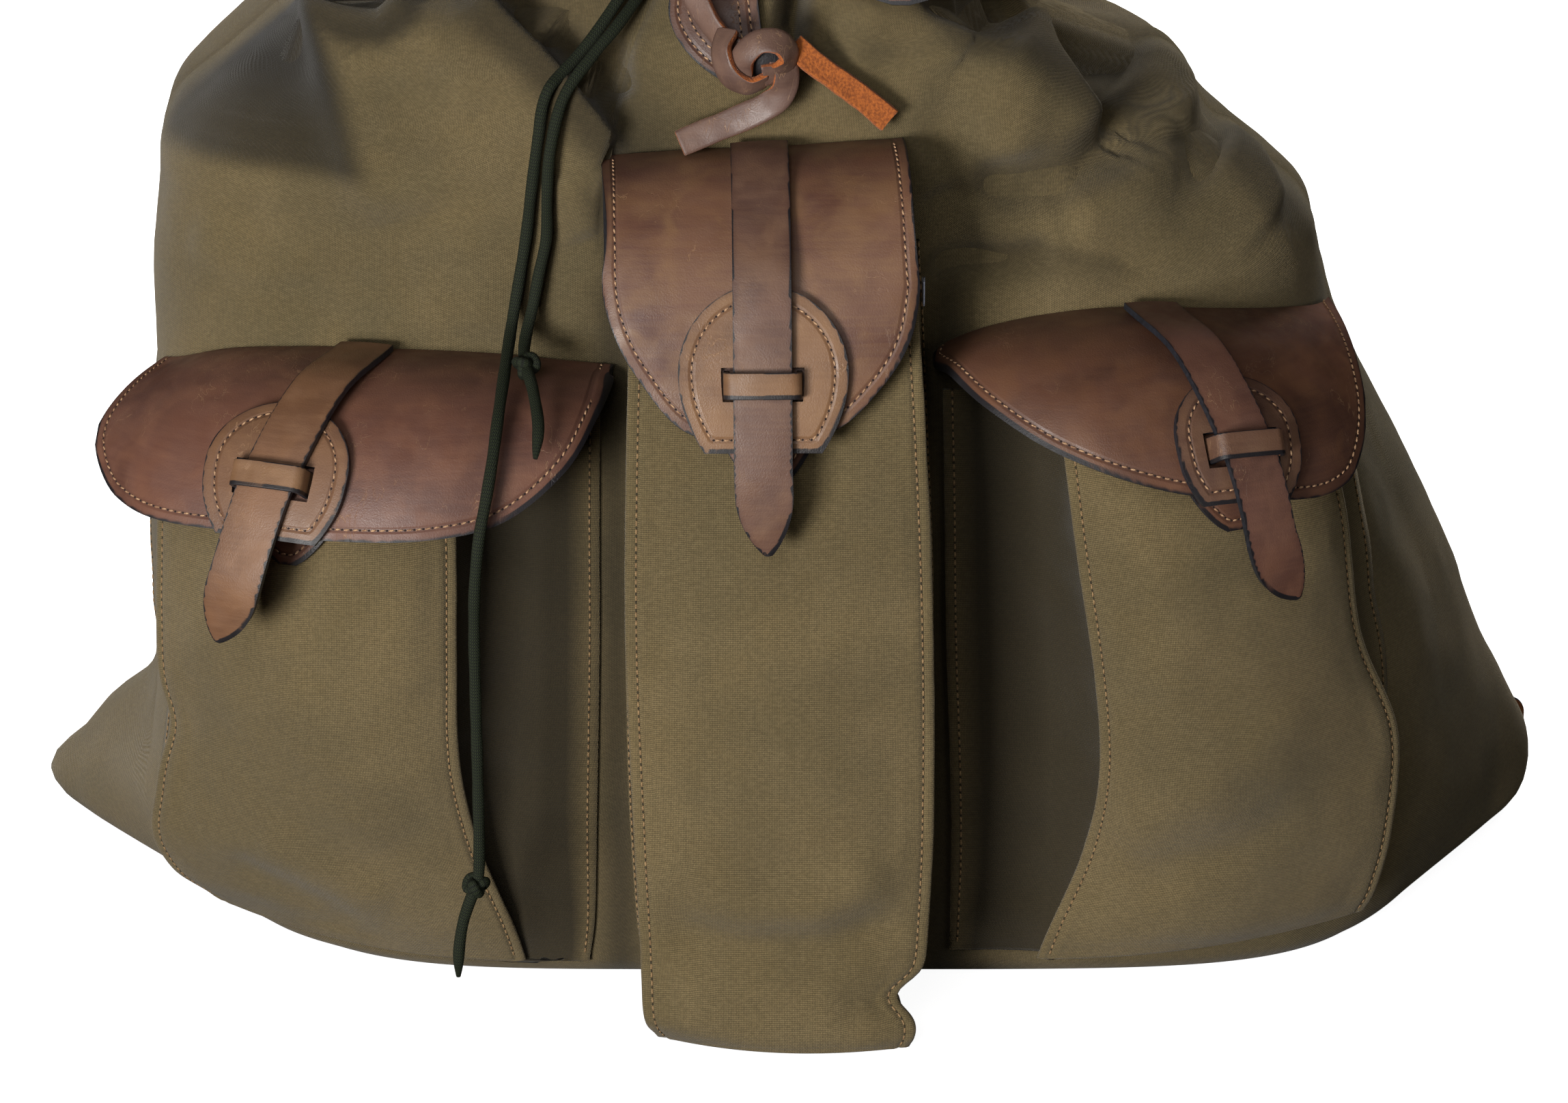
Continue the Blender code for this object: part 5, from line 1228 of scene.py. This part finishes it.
def flap_surface(name, station, along):
    """Points of a flap's inner surface. along runs from 0 at the hinge to 1 at the free edge."""
    row = smooth(FLAP_ROWS[name], station)
    hinge = on_front(row[..., 1], row[..., 2], 1.0)
    edge = row[..., 3:6]
    over = hinge + (edge - hinge) * 0.8
    over[..., 2] = hinge[..., 2] + row[..., 6] * 0.4
    along = np.asarray(along, float)[..., None]
    rest = 1 - along
    return hinge * rest * rest + over * 2 * along * rest + edge * along * along


def one_flap_point(name, station, along):
    return flap_surface(name, np.array([station]), np.array([along]))[0]


def flap_grid(name, stations=110, steps=44, past=0):
    """The flap's grid. Its free corners are rounded, unless it is to reach past the edge."""
    far = len(FLAP_ROWS[name]) - 1
    place = np.linspace(0, far, stations + 1)
    station = np.repeat(place[:, None], steps + past + 1, axis=1)
    along = np.repeat((np.arange(steps + past + 1) / steps)[None], stations + 1, axis=0)
    if not past:
        width, cut = CORNERS[name]
        ends = np.clip((np.abs(place - far / 2) - far / 2 + width) / width, 0.0, 1.0)
        if name != "flap_centre":
            ends = ends * (place > far / 2)
        along = along * (1 - cut * (1 - np.sqrt(1 - ends**2)))[:, None]
    return flap_surface(name, station, along)


TAB_TOP, TAB_BOTTOM = 31.0, -22.0
TAB_STAND_OFF = 1.2
# How far the anchors and the neck patch stand off the cloth.
ANCHOR_STAND_OFF = 0.5
PATCH_STAND_OFF = 1.6
SLOT_HALF_WIDTH = 13.4
SLOT_HALF_HEIGHT = 5.4
STRAP_OVER_FLAP = 0.7 + STRAP_LEATHER / 2
STRAP_OVER_TAB = TAB_STAND_OFF + STRAP_LEATHER + 1.0 + STRAP_LEATHER / 2
KEEPER_HALF_WIDTH = 11.9
KEEPER_HALF_HEIGHT = 4.4
KEEPER_ROOM = 2.0
STRAP_START = 0.04
# A distance from the edge past which no paint reaches, and a sheet's four free sides.
UNPAINTED = 20.0
ALL_ROUND = ("start", "end", "last", "first")


class Closure:
    """The frame of one closure: its middle on the flap's outer face, and its three directions."""

    def __init__(self, side):
        self.side = side
        self.flap = "flap_" + side
        self.station, self.along, self.top_station, *rest = CLOSURE_ROWS[side]
        self.tip = np.array(rest[:3])
        self.anchor_x, self.anchor_top, self.anchor_bottom = rest[3:]
        at = one_flap_point(self.flap, self.station, self.along)
        before = one_flap_point(self.flap, *self.strap_place(0.85))
        across = one_flap_point(self.flap, self.station + 0.2, self.along) - one_flap_point(
            self.flap, self.station - 0.2, self.along
        )
        along = one_flap_point(self.flap, self.station, self.along + 0.02) - one_flap_point(
            self.flap, self.station, self.along - 0.02
        )
        self.normal = unit(np.cross(along, across))
        if self.normal[2] < self.normal[1]:
            self.normal = -self.normal
        self.at = at + self.normal * FLAP_LEATHER
        turn, self.wide, self.tall = TAB_SHAPES[side]
        up = unit(before - at) * turn - unit(along) * (1 - turn)
        self.up = unit(up - self.normal * (up @ self.normal))
        self.across = unit(np.cross(self.up, self.normal))
        lean = unit(before - at)
        self.lean = float(lean @ self.across) / float(lean @ self.up)
        self.tree = tree_of(lay("wide_flap", flap_grid(self.flap, past=14), outside=(0, -1, 1)))

    def strap_place(self, share):
        station = self.top_station + (self.station - self.top_station) * share
        return station, STRAP_START + (self.along - STRAP_START) * share

    def in_plane(self, across, up):
        return self.at + self.across * across + self.up * up

    def drop(self, tree, across, up, lift):
        start = Vector(to_part(self.in_plane(across, up) + self.normal * 50.0))
        hit, facing = tree.ray_cast(start, Vector(-self.normal), 0.2)[:2]
        if hit is None:
            return None
        if facing.dot(Vector(self.normal)) < 0:
            facing = -facing
        return from_part(hit) + np.array(facing) * lift


def tab_half_width(up):
    if up > 4.0:
        share = min((up - 4.0) / (TAB_TOP - 4.0), 1.0)
        return max(27.5 * math.sqrt(1 - share * share), 2.5)
    share = (4.0 - up) / (4.0 - TAB_BOTTOM)
    return 27.5 - 8.5 * share * share


def make_flap(side):
    name = "flap_" + side
    points = flap_grid(name)
    normals = grid_normals(points)
    normals *= np.sign(normals[55, 22, 2] - normals[55, 22, 1])
    seed = {"centre": 2.0, "left": 5.0, "right": 8.0}[side]
    calm = ease(0.0, 6.0, np.arange(points.shape[1]))[None]
    points = points + normals * (0.8 * ripple(points, 46.0, seed) * calm)[..., None]
    edge = from_edge(points, ("first", "last", "end"))
    mesh = lay("leather_" + name, points, outside=(0, -1, 1), fields=edge)
    leather_piece(name, mesh, FLAP_LEATHER, 1.0, 0.45)
    outline = np.concatenate([points[0, 3:], points[1:-1, -1], points[-1, :2:-1]])
    seam = inset(outline, tree_of(mesh), 3.9, FLAP_LEATHER + 0.05)
    sew("stitching_" + name, [seam], THREAD, NEEDLE_HOLE, 3.0, (2.2, 0.72, 0.7))


def tab_rows():
    slot = SLOT_HALF_HEIGHT
    low = TAB_BOTTOM + (-slot - TAB_BOTTOM) * np.linspace(0, 1, 13)
    middle = np.linspace(-slot, slot, 8)
    high = slot + (TAB_TOP - slot) * np.sin(np.linspace(0, 1, 24) * math.pi / 2)
    return np.concatenate([low, middle[1:], high[1:]])


def make_tab(closure):
    ups = tab_rows()
    slot = SLOT_HALF_WIDTH / (27.2 * closure.wide)
    stretch = np.where(np.abs(ups) > SLOT_HALF_HEIGHT, closure.tall, 1.0)
    reach = SLOT_HALF_HEIGHT * (1 - closure.tall) * np.sign(ups) * (np.abs(ups) > SLOT_HALF_HEIGHT)
    left, middle, right = np.linspace(-1, -slot, 9), np.linspace(-slot, slot, 13), np.linspace(slot, 1, 9)
    shares = np.concatenate([left, middle[1:], right[1:]])
    lift = FLAP_LEATHER + TAB_STAND_OFF
    points = np.array([
        [closure.drop(closure.tree, share * closure.wide * tab_half_width(up), up * high + more, lift)
         for up, high, more in zip(ups, stretch, reach)]
        for share in shares
    ])
    name = "tab_" + closure.side
    edge = from_edge(points, ("first", "last", "start"))
    mesh = lay("leather_" + name, points, outside=tuple(closure.normal), fields=edge)
    shape = bmesh.new()
    shape.from_mesh(mesh)
    frame_turn = Matrix((closure.across, closure.up, closure.normal))
    middle = Vector(to_part(closure.at))
    opened = []
    for face in shape.faces:
        place = frame_turn @ (face.calc_center_median() - middle) / MM
        if abs(place.x) < SLOT_HALF_WIDTH - 0.2 and abs(place.y) < SLOT_HALF_HEIGHT - 0.1:
            opened.append(face)
    bmesh.ops.delete(shape, geom=opened, context="FACES")
    tree = tree_of(mesh)
    shape.to_mesh(mesh)
    shape.free()
    leather_piece(name, mesh, STRAP_LEATHER, 1.0, 0.4)
    outline = np.concatenate([points[:, 0], points[-1, 1:], points[::-1, -1][1:-1], points[0, ::-1]])
    seam = inset(outline, tree, 4.4, STRAP_LEATHER + 0.05)
    sew("stitching_" + name, [seam], THREAD, NEEDLE_HOLE, 2.9, (2.1, 0.7, 0.7))


def make_anchor(closure, pocket_tree):
    """The patch on the pocket's front that holds the keeper, drawn to a point below."""
    name = "anchor_" + closure.side
    shares = np.linspace(0, 1, 19)
    grid = []
    for t in np.linspace(-1, 1, 17):
        line = []
        for share in shares:
            z = closure.anchor_bottom + (closure.anchor_top - closure.anchor_bottom) * share
            half = 3.0 + 17.0 * math.sin(min(share * 1.15, 1.0) * math.pi / 2) ** 0.8
            start = Vector(to_part((closure.anchor_x + half * t, -300.0, z)))
            hit = pocket_tree.ray_cast(start, Vector((0, 1, 0)), 0.4)[0]
            line.append(from_part(hit) - (0, ANCHOR_STAND_OFF, 0))
        grid.append(line)
    points = np.array(grid)
    edge = from_edge(points, ("first", "last", "start"))
    mesh = lay("leather_" + name, points, outside=(0, -1, 0), fields=edge)
    leather_piece(name, mesh, STRAP_LEATHER, 1.0, 0.4)
    outline = np.concatenate([points[0, ::-1], points[1:-1, 0], points[-1]])
    seam = inset(outline, tree_of(mesh), 3.6, STRAP_LEATHER + 0.05)
    sew("stitching_" + name, [seam], THREAD, NEEDLE_HOLE, 2.9, (2.1, 0.7, 0.7))
    return tree_of(mesh)


def make_keeper(closure, anchor_tree):
    """A staple of leather over the strap, whose two legs go through the slot."""
    height = STRAP_OVER_TAB + STRAP_LEATHER / 2 + KEEPER_ROOM + KEEPER_LEATHER / 2
    legs = []
    for side in (-1, 1):
        for up in (-KEEPER_HALF_HEIGHT, 0.0, KEEPER_HALF_HEIGHT):
            foot = closure.drop(anchor_tree, side * KEEPER_HALF_WIDTH, up, STRAP_LEATHER + 0.2)
            if foot is not None:
                legs.append((foot - closure.at) @ closure.normal)
    foot = max(legs, default=-12.0)
    bend = 2.8
    turns = np.linspace(0, math.pi / 2, 7)[1:]
    outline = [(-KEEPER_HALF_WIDTH, n) for n in np.linspace(foot, height - bend, 9)]
    outline += [
        (-KEEPER_HALF_WIDTH + bend * (1 - math.cos(a)), height - bend + bend * math.sin(a)) for a in turns
    ]
    reach = KEEPER_HALF_WIDTH - bend
    outline += [(x, height + 0.5 * (1 - (x / reach) ** 2)) for x in np.linspace(-reach, 0, 7)[1:]]
    outline += [(-x, n) for x, n in reversed(outline[:-1])]
    ups = np.linspace(-KEEPER_HALF_HEIGHT, KEEPER_HALF_HEIGHT, 9)
    points = np.array([[closure.in_plane(x, up) + closure.normal * n for up in ups] for x, n in outline])
    name = "keeper_" + closure.side
    edge = from_edge(points, ("start", "end"))
    mesh = lay("leather_" + name, points, outside=tuple(closure.normal), fields=edge)
    leather_piece(name, mesh, KEEPER_LEATHER, 0.0, 0.35)


def strap_spine(closure):
    """Points down the middle of a closing strap, with the way that each faces."""
    spine, normals = [], []
    steps = 9
    for k in range(steps + 1):
        station, along = closure.strap_place(k / steps)
        here = one_flap_point(closure.flap, station, along)
        on = one_flap_point(closure.flap, station, along + 0.04)
        back = one_flap_point(closure.flap, station, max(along - 0.04, -0.02))
        ahead, behind = (one_flap_point(closure.flap, station + step, along) for step in (0.2, -0.2))
        side = ahead - behind
        normal = unit(np.cross(on - back, side))
        if normal[2] < normal[1]:
            normal = -normal
        over_tab = ease(58.0, 30.0, np.linalg.norm(here - closure.at))
        lift = FLAP_LEATHER + STRAP_OVER_FLAP + (STRAP_OVER_TAB - STRAP_OVER_FLAP) * over_tab
        spine.append(here + normal * lift)
        normals.append(normal)
    for up in (-7.0, -13.0, -19.0, -25.0):
        spine.append(closure.drop(closure.tree, closure.lean * up * 0.9, up, FLAP_LEATHER + STRAP_OVER_TAB))
        normals.append(closure.normal)
    last, before = spine[-1], spine[-2]
    past_tab = last + unit(last - before) * np.linalg.norm(closure.tip - last) * 0.35
    before_tip = past_tab + (closure.tip - past_tab) * 0.45
    for share in np.linspace(0, 1, 7)[1:]:
        rest = 1 - share
        spine.append(last * rest**3 + past_tab * 3 * share * rest**2 + before_tip * 3 * share**2 * rest
                     + closure.tip * share**3)
        normals.append(unit(closure.normal * (1 - share * 0.6) + np.array([0, -1, 0]) * share * 0.6))
    return np.array(spine), np.array(normals)


def strap_grid(spine, facing, half_widths, across=10, crown=0.0):
    """A band along a spine, with its face towards facing, and its middle crowned."""
    tangent = unit(np.gradient(spine, axis=0))
    side = unit(np.cross(tangent, facing))
    face = np.cross(side, tangent)
    t = np.linspace(-1, 1, across + 1)
    wide = side[:, None] * half_widths[:, None, None] * t[None, :, None]
    return spine[:, None] + wide + face[:, None] * (crown * (1 - t**2))[None, :, None]


def make_strap(closure):
    spine, normals = strap_spine(closure)
    both = sampled(np.concatenate([spine, normals], axis=1), 400)
    far = travelled(both[:, :3])
    places = far[-1] * (1 - (1 - np.linspace(0, 1, 120)) ** 1.25)
    both = np.stack([np.interp(places, far, both[:, c]) for c in range(6)], -1)
    spine, normals = both[:, :3], unit(both[:, 3:])
    left = travelled(spine[::-1])[::-1]
    share = np.clip(left / (STRAP_WIDTH * 1.15), 0, 1)
    half = np.maximum(STRAP_WIDTH / 2 * (1 - (1 - share) ** 1.8) ** 0.72, 0.8)
    points = strap_grid(spine, normals, half, 10, 0.35)
    name = "strap_" + closure.side
    edge = from_edge(points, ("start", "end", "last"))
    mesh = lay("leather_" + name, points, outside=tuple(closure.normal), fields=edge)
    leather_piece(name, mesh, STRAP_LEATHER, 0.0, 0.4)


def make_closure(side, pocket):
    closure = Closure(side)
    make_flap(side)
    make_tab(closure)
    anchor_tree = make_anchor(closure, tree_of(pocket.data))
    make_keeper(closure, anchor_tree)
    make_strap(closure)


# The mouth's patch and thong


def make_neck_patch(sack_tree):
    rows = sampled(PATCH_ROWS, 17)
    grid = []
    for t in np.linspace(0, 1, 15):
        x = rows[:, 0] + (rows[:, 1] - rows[:, 0]) * t
        start, foot = to_part(on_front(x, rows[:, 2], 40.0)), to_part(on_front(x, rows[:, 2], -25.0))
        line = []
        for a, b in zip(start, foot):
            way = Vector(b - a).normalized()
            hit = sack_tree.ray_cast(Vector(a), way, 0.1)[0]
            line.append(from_part(hit - way * PATCH_STAND_OFF * MM))
        grid.append(line)
    points = np.array(grid)
    edge = from_edge(points, ("first", "last", "start"))
    mesh = lay("leather_neck_patch", points, outside=(0, -1, 0), fields=edge)
    leather_piece("neck_patch", mesh, STRAP_LEATHER, 1.0, 0.4)
    outline = np.concatenate([points[0, ::-1], points[1:-1, 0], points[-1]])
    seams = [inset(outline, tree_of(mesh), away, STRAP_LEATHER + 0.05) for away in (3.2, 6.6)]
    sew("stitching_neck_patch", seams, THREAD, NEEDLE_HOLE, 2.7, (2.0, 0.7, 0.65))


# x, y, z, and the way that the grain side faces, with a half width
THONGS = {
    "from_mouth": (
        (-31.0, -64.0, 358.0, -0.5, -0.8, 0.2, 4.2),
        (-26.0, -68.0, 350.0, -0.6, -0.8, 0.1, 4.2),
        (-20.0, -71.0, 342.0, -0.7, -0.7, 0.0, 4.2),
        (-12.0, -73.5, 337.0, -0.4, -0.9, 0.1, 4.2),
    ),
    "left_end": (
        (-2.0, -75.5, 338.0, 0.6, -0.8, 0.0, 4.2),
        (0.5, -76.5, 332.0, 0.5, -0.85, 0.0, 4.4),
        (-0.5, -76.0, 325.5, 0.2, -0.95, 0.2, 4.4),
        (-6.0, -74.5, 320.0, -0.1, -0.95, 0.3, 4.4),
        (-16.0, -73.5, 315.0, -0.1, -0.95, 0.3, 4.4),
        (-27.0, -74.0, 310.5, -0.1, -0.95, 0.3, 4.3),
        (-34.5, -75.0, 307.5, -0.1, -0.95, 0.3, 4.2),
    ),
    "right_end": (
        (3.0, -73.5, 341.0, -0.2, 0.95, -0.2, 4.2),
        (9.0, -73.5, 335.5, -0.1, 0.95, -0.3, 4.0),
        (18.0, -72.5, 328.5, -0.1, 0.95, -0.3, 4.0),
        (27.0, -72.0, 321.5, 0.0, 0.95, -0.3, 4.1),
        (35.0, -72.0, 314.5, 0.0, 0.95, -0.3, 4.3),
    ),
    "knot_upright": (
        (-18.0, -74.0, 346.0, -0.6, -0.6, 0.5, 4.0),
        (-20.5, -77.5, 340.0, -0.75, -0.65, 0.0, 4.2),
        (-18.0, -79.5, 332.5, -0.5, -0.8, -0.3, 4.2),
        (-12.0, -79.0, 328.5, 0.0, -0.7, -0.7, 4.2),
        (-6.0, -76.5, 330.0, 0.5, -0.5, -0.6, 4.0),
    ),
    "knot_over": (
        (-14.0, -78.5, 333.0, -0.3, -0.9, -0.2, 3.8),
        (-13.0, -81.0, 339.0, -0.5, -0.85, 0.2, 4.0),
        (-8.0, -82.0, 344.0, -0.2, -0.8, 0.55, 4.0),
        (-1.5, -81.0, 343.5, 0.45, -0.7, 0.5, 4.0),
        (1.5, -79.0, 338.5, 0.8, -0.6, 0.0, 4.0),
        (-1.5, -78.0, 333.5, 0.5, -0.75, -0.35, 4.0),
        (-7.0, -78.5, 332.0, 0.0, -0.9, -0.4, 3.8),
    ),
}


def make_lace():
    """The thong's runs, and the wraps of its knot round a small core."""
    joined = bmesh.new()
    bmesh.ops.create_uvsphere(joined, u_segments=20, v_segments=12, radius=1.0)
    bmesh.ops.scale(joined, verts=joined.verts, vec=Vector((9.0, 4.8, 7.0)) * MM)
    bmesh.ops.translate(joined, verts=joined.verts, vec=Vector(to_part((-7.0, -74.5, 337.0))))
    for number, (run, rows) in enumerate(THONGS.items()):
        found = sampled(rows, 44)
        facing = unit(found[:, 3:6])
        wave = 0.35 * ripple(found[:, None, :3], 7.0, number)[:, 0]
        points = strap_grid(found[:, :3], facing, found[:, 6] + wave, 8, 0.5)
        points += 0.35 * ripple(points, 5.0, number + 4.0)[..., None] * facing[:, None]
        edge = from_edge(points, ALL_ROUND)
        edge["rim"] += UNPAINTED
        mesh = lay("thong_" + run, points, outside=tuple(facing[22]), fields=edge)
        mesh.materials.append(LEATHERS["lace"])
        mesh.materials.append(SUEDE)
        scrap = bpy.data.objects.new("thong_" + run, mesh)
        bpy.context.scene.collection.objects.link(scrap)
        thicken(scrap, 2.3, 0.0, 1, 1)
        round_edges(scrap, 0.3)
        grown = scrap.evaluated_get(bpy.context.evaluated_depsgraph_get()).to_mesh()
        joined.from_mesh(grown)
        bpy.data.objects.remove(scrap)
    mesh = bpy.data.meshes.new("leather_lace")
    joined.to_mesh(mesh)
    joined.free()
    piece("leather_lace", mesh, (LEATHERS["lace"], SUEDE), ("lace",))


# The lid and the back


def leather_sheet(name, points, outside, thickness, sides, seams, offset=1.0):
    """A piece of leather from its grid of points, stitched beside its free sides."""
    edge = from_edge(points, sides)
    mesh = lay("leather_" + name, points, outside=outside, fields=edge)
    leather_piece(name, mesh, thickness, offset, 0.5)
    tree = tree_of(mesh)
    lift = thickness * (1 + offset) / 2 + 0.05
    found = [inset(outline, tree, away, lift) for outline, away in seams]
    sew("stitching_" + name, found, THREAD, NEEDLE_HOLE, 3.2, (2.4, 0.8, 0.75))


def make_lid():
    rows = sampled(LID_ROWS, 90)
    t = np.linspace(-1, 1, 45)
    x = rows[:, None, 0] + t[None] * rows[:, None, 3]
    y = np.repeat(rows[:, None, 1], len(t), axis=1)
    z = rows[:, None, 2] - rows[:, None, 4] * t[None] ** 2
    points = np.stack([x, y, z], -1)
    points[..., 2] += 1.2 * ripple(points, 60.0, 4.0) * ease(0, 20, np.arange(90))[:, None]
    outline = np.concatenate([points[:, 0], points[-1, 1:-1], points[::-1, -1]])
    sides = ("start", "end", "last")
    leather_sheet("lid", points, (0, -0.3, 1), FLAP_LEATHER, sides, [(outline, 6.0)])


def make_yoke():
    rows = sampled(YOKE_ROWS, 13)
    t = np.linspace(0, 1, 41)
    x = rows[None, :, 0] + (rows[None, :, 1] - rows[None, :, 0]) * t[:, None]
    height = sack_height(np.repeat(rows[None, :, 2], len(t), axis=0))
    angle = back_angle(x, height)
    points = sack_base(angle, height) + sack_normal(angle, height) * 0.5
    outline = np.concatenate([points[0], points[1:-1, -1], points[-1, ::-1], points[::-1, 0][1:]])
    leather_sheet("yoke", points, (0, 1, 0), CARRY_LEATHER, ALL_ROUND, [(outline, 5.0)])


def make_back():
    make_yoke()
    for side, sign in (("left", -1.0), ("right", 1.0)):
        rows = sampled(CARRY_ROWS, 120)
        share = np.linspace(0, 1, 120)
        centre = 8.0 * (1 - share) + CARRY_REACH[side] * share**2
        spine = np.stack([centre + sign * rows[:, 0], rows[:, 1], rows[:, 2]], -1)
        spine[:, 2] -= 9.0 * ease(110.0, 200.0, rows[:, 0])
        facing = np.repeat(unit(np.array([[0.0, 1.0, 0.15]])), 120, axis=0)
        points = strap_grid(spine, facing, rows[:, 3], 14, 0.8)
        seams = [(points[4:-4, 0], 4.5), (points[4:-4, -1], 4.5)]
        name = "shoulder_strap_" + side
        sides = ("start", "end")
        leather_sheet(name, points, (0, 1, 0), CARRY_LEATHER, sides, seams, 0.0)
        make_corner_tab(side)


def make_corner_tab(side):
    """A leather tab flat on a bottom corner of the back, with rounded corners."""
    x_low, x_high, y, z_low, z_high = CORNER_TAB_ROWS[side]
    t = np.linspace(-1, 1, 25)
    half_x, half_z = (x_high - x_low) / 2, (z_high - z_low) / 2
    a, b = np.meshgrid(t, t, indexing="ij")
    corner = 6.0
    ax, az = a * half_x, b * half_z
    pull_x = np.maximum(np.abs(ax) - (half_x - corner), 0)
    pull_z = np.maximum(np.abs(az) - (half_z - corner), 0)
    far = np.maximum(np.hypot(pull_x, pull_z), 1e-9)
    scale = np.maximum(pull_x, pull_z) / far
    ax = np.sign(ax) * (np.abs(ax) - pull_x * (1 - scale))
    az = np.sign(az) * (np.abs(az) - pull_z * (1 - scale))
    points = np.stack([(x_low + x_high) / 2 + ax, np.full(a.shape, y), (z_low + z_high) / 2 + az], -1)
    outline = np.concatenate([points[0], points[1:-1, -1], points[-1, ::-1], points[::-1, 0][1:]])
    name = "corner_tab_" + side
    leather_sheet(name, points, (0, 1, 0), STRAP_LEATHER, ALL_ROUND, [(outline, 3.6)])


def make_side_tag():
    """A small blank folded tag in the centre pocket's gusset seam."""
    x = np.linspace(0, 1, 13)
    across, forward = 45.35 + 0.7 * np.abs(np.sin(x * math.pi / 2)), -104.0 - 6.0 * np.sin(x * math.pi)
    path = np.stack([across, forward, x * 0], -1)
    z = np.linspace(262.4, 270.6, 9)
    points = np.repeat(path[:, None], len(z), axis=1)
    points[..., 2] = z[None]
    mesh = lay("cloth_side_tag", points, outside=(0, -1, 0))
    made = piece("cloth_side_tag", mesh, (TAG_CLOTH,), ("side_tag",))
    thicken(made, 0.35, 0.0)


# The studio


# name, place, size, power, tint
LIGHTS = (
    ("key", (-1.05, -2.0, 0.25), 0.7, 66.0, (1.0, 0.985, 0.96)),
    ("front", (-0.4, -2.0, 1.2), 0.8, 12.0, (1.0, 1.0, 1.0)),
    ("fill", (1.7, -1.4, 0.4), 1.2, 9.0, (0.97, 0.98, 1.0)),
    ("back", (0.6, 2.3, 1.1), 1.4, 110.0, (1.0, 1.0, 1.0)),
    ("side", (-1.6, 1.7, 0.8), 1.2, 40.0, (1.0, 1.0, 1.0)),
)


def make_studio():
    shape = bmesh.new()
    bmesh.ops.create_grid(shape, x_segments=1, y_segments=1, size=6.0)
    bmesh.ops.translate(shape, verts=shape.verts, vec=(0, 0, -0.0006))
    mesh = bpy.data.meshes.new("floor")
    shape.to_mesh(mesh)
    shape.free()
    floor = bpy.data.objects.new("floor", mesh)
    bpy.context.scene.collection.objects.link(floor)
    white = bpy.data.materials.new("pale_floor")
    white.use_nodes = True
    shader = white.node_tree.nodes["Principled BSDF"]
    shader.inputs["Base Color"].default_value = (0.6, 0.6, 0.6, 1.0)
    shader.inputs["Roughness"].default_value = 1.0
    shader.inputs["Specular IOR Level"].default_value = 0.0
    shader.inputs["Emission Color"].default_value = (1.0, 1.0, 1.0, 1.0)
    shader.inputs["Emission Strength"].default_value = 0.93
    mesh.materials.append(white)
    floor.visible_diffuse = False
    floor.visible_glossy = False
    world = bpy.data.worlds.new("studio")
    world.use_nodes = True
    world.node_tree.nodes["Background"].inputs[0].default_value = (1.0, 1.0, 1.0, 1.0)
    world.node_tree.nodes["Background"].inputs[1].default_value = 0.95
    world.cycles_visibility.diffuse = False
    world.cycles_visibility.glossy = False
    bpy.context.scene.world = world
    for name, place, size, power, tint in LIGHTS:
        light = bpy.data.lights.new(name, "AREA")
        light.energy = power
        light.size = size
        light.color = tint
        made = bpy.data.objects.new(name, light)
        made.location = place
        made.visible_glossy = name in ("key", "front")
        way = Vector((0.0, 0.0, 0.18)) - Vector(place)
        made.rotation_euler = way.to_track_quat("-Z", "Y").to_euler()
        bpy.context.scene.collection.objects.link(made)
    bpy.context.scene.view_settings.view_transform = "Standard"


def main():
    make_camera()
    for name in CORD_ROWS:
        make_cord(name)
    for kind, (*tones, seed, seam, creases) in LEATHER_TONES.items():
        middle, dark, light = (paint(*tone) for tone in tones)
        made = leather_finish("leather_" + kind, middle, dark, light, seed, seam, creases)
        for name in [kind] + [kind + "_" + side for side in ("centre", "left", "right")]:
            LEATHERS.setdefault(name, made)
    make_lace()
    sack_tree = make_sack()
    for side in ("centre", "left", "right"):
        pocket = make_pocket("pocket_" + side, sack_tree)
        make_closure(side, pocket)
    make_neck_patch(sack_tree)
    make_lid()
    make_back()
    make_side_tag()
    make_studio()


main()
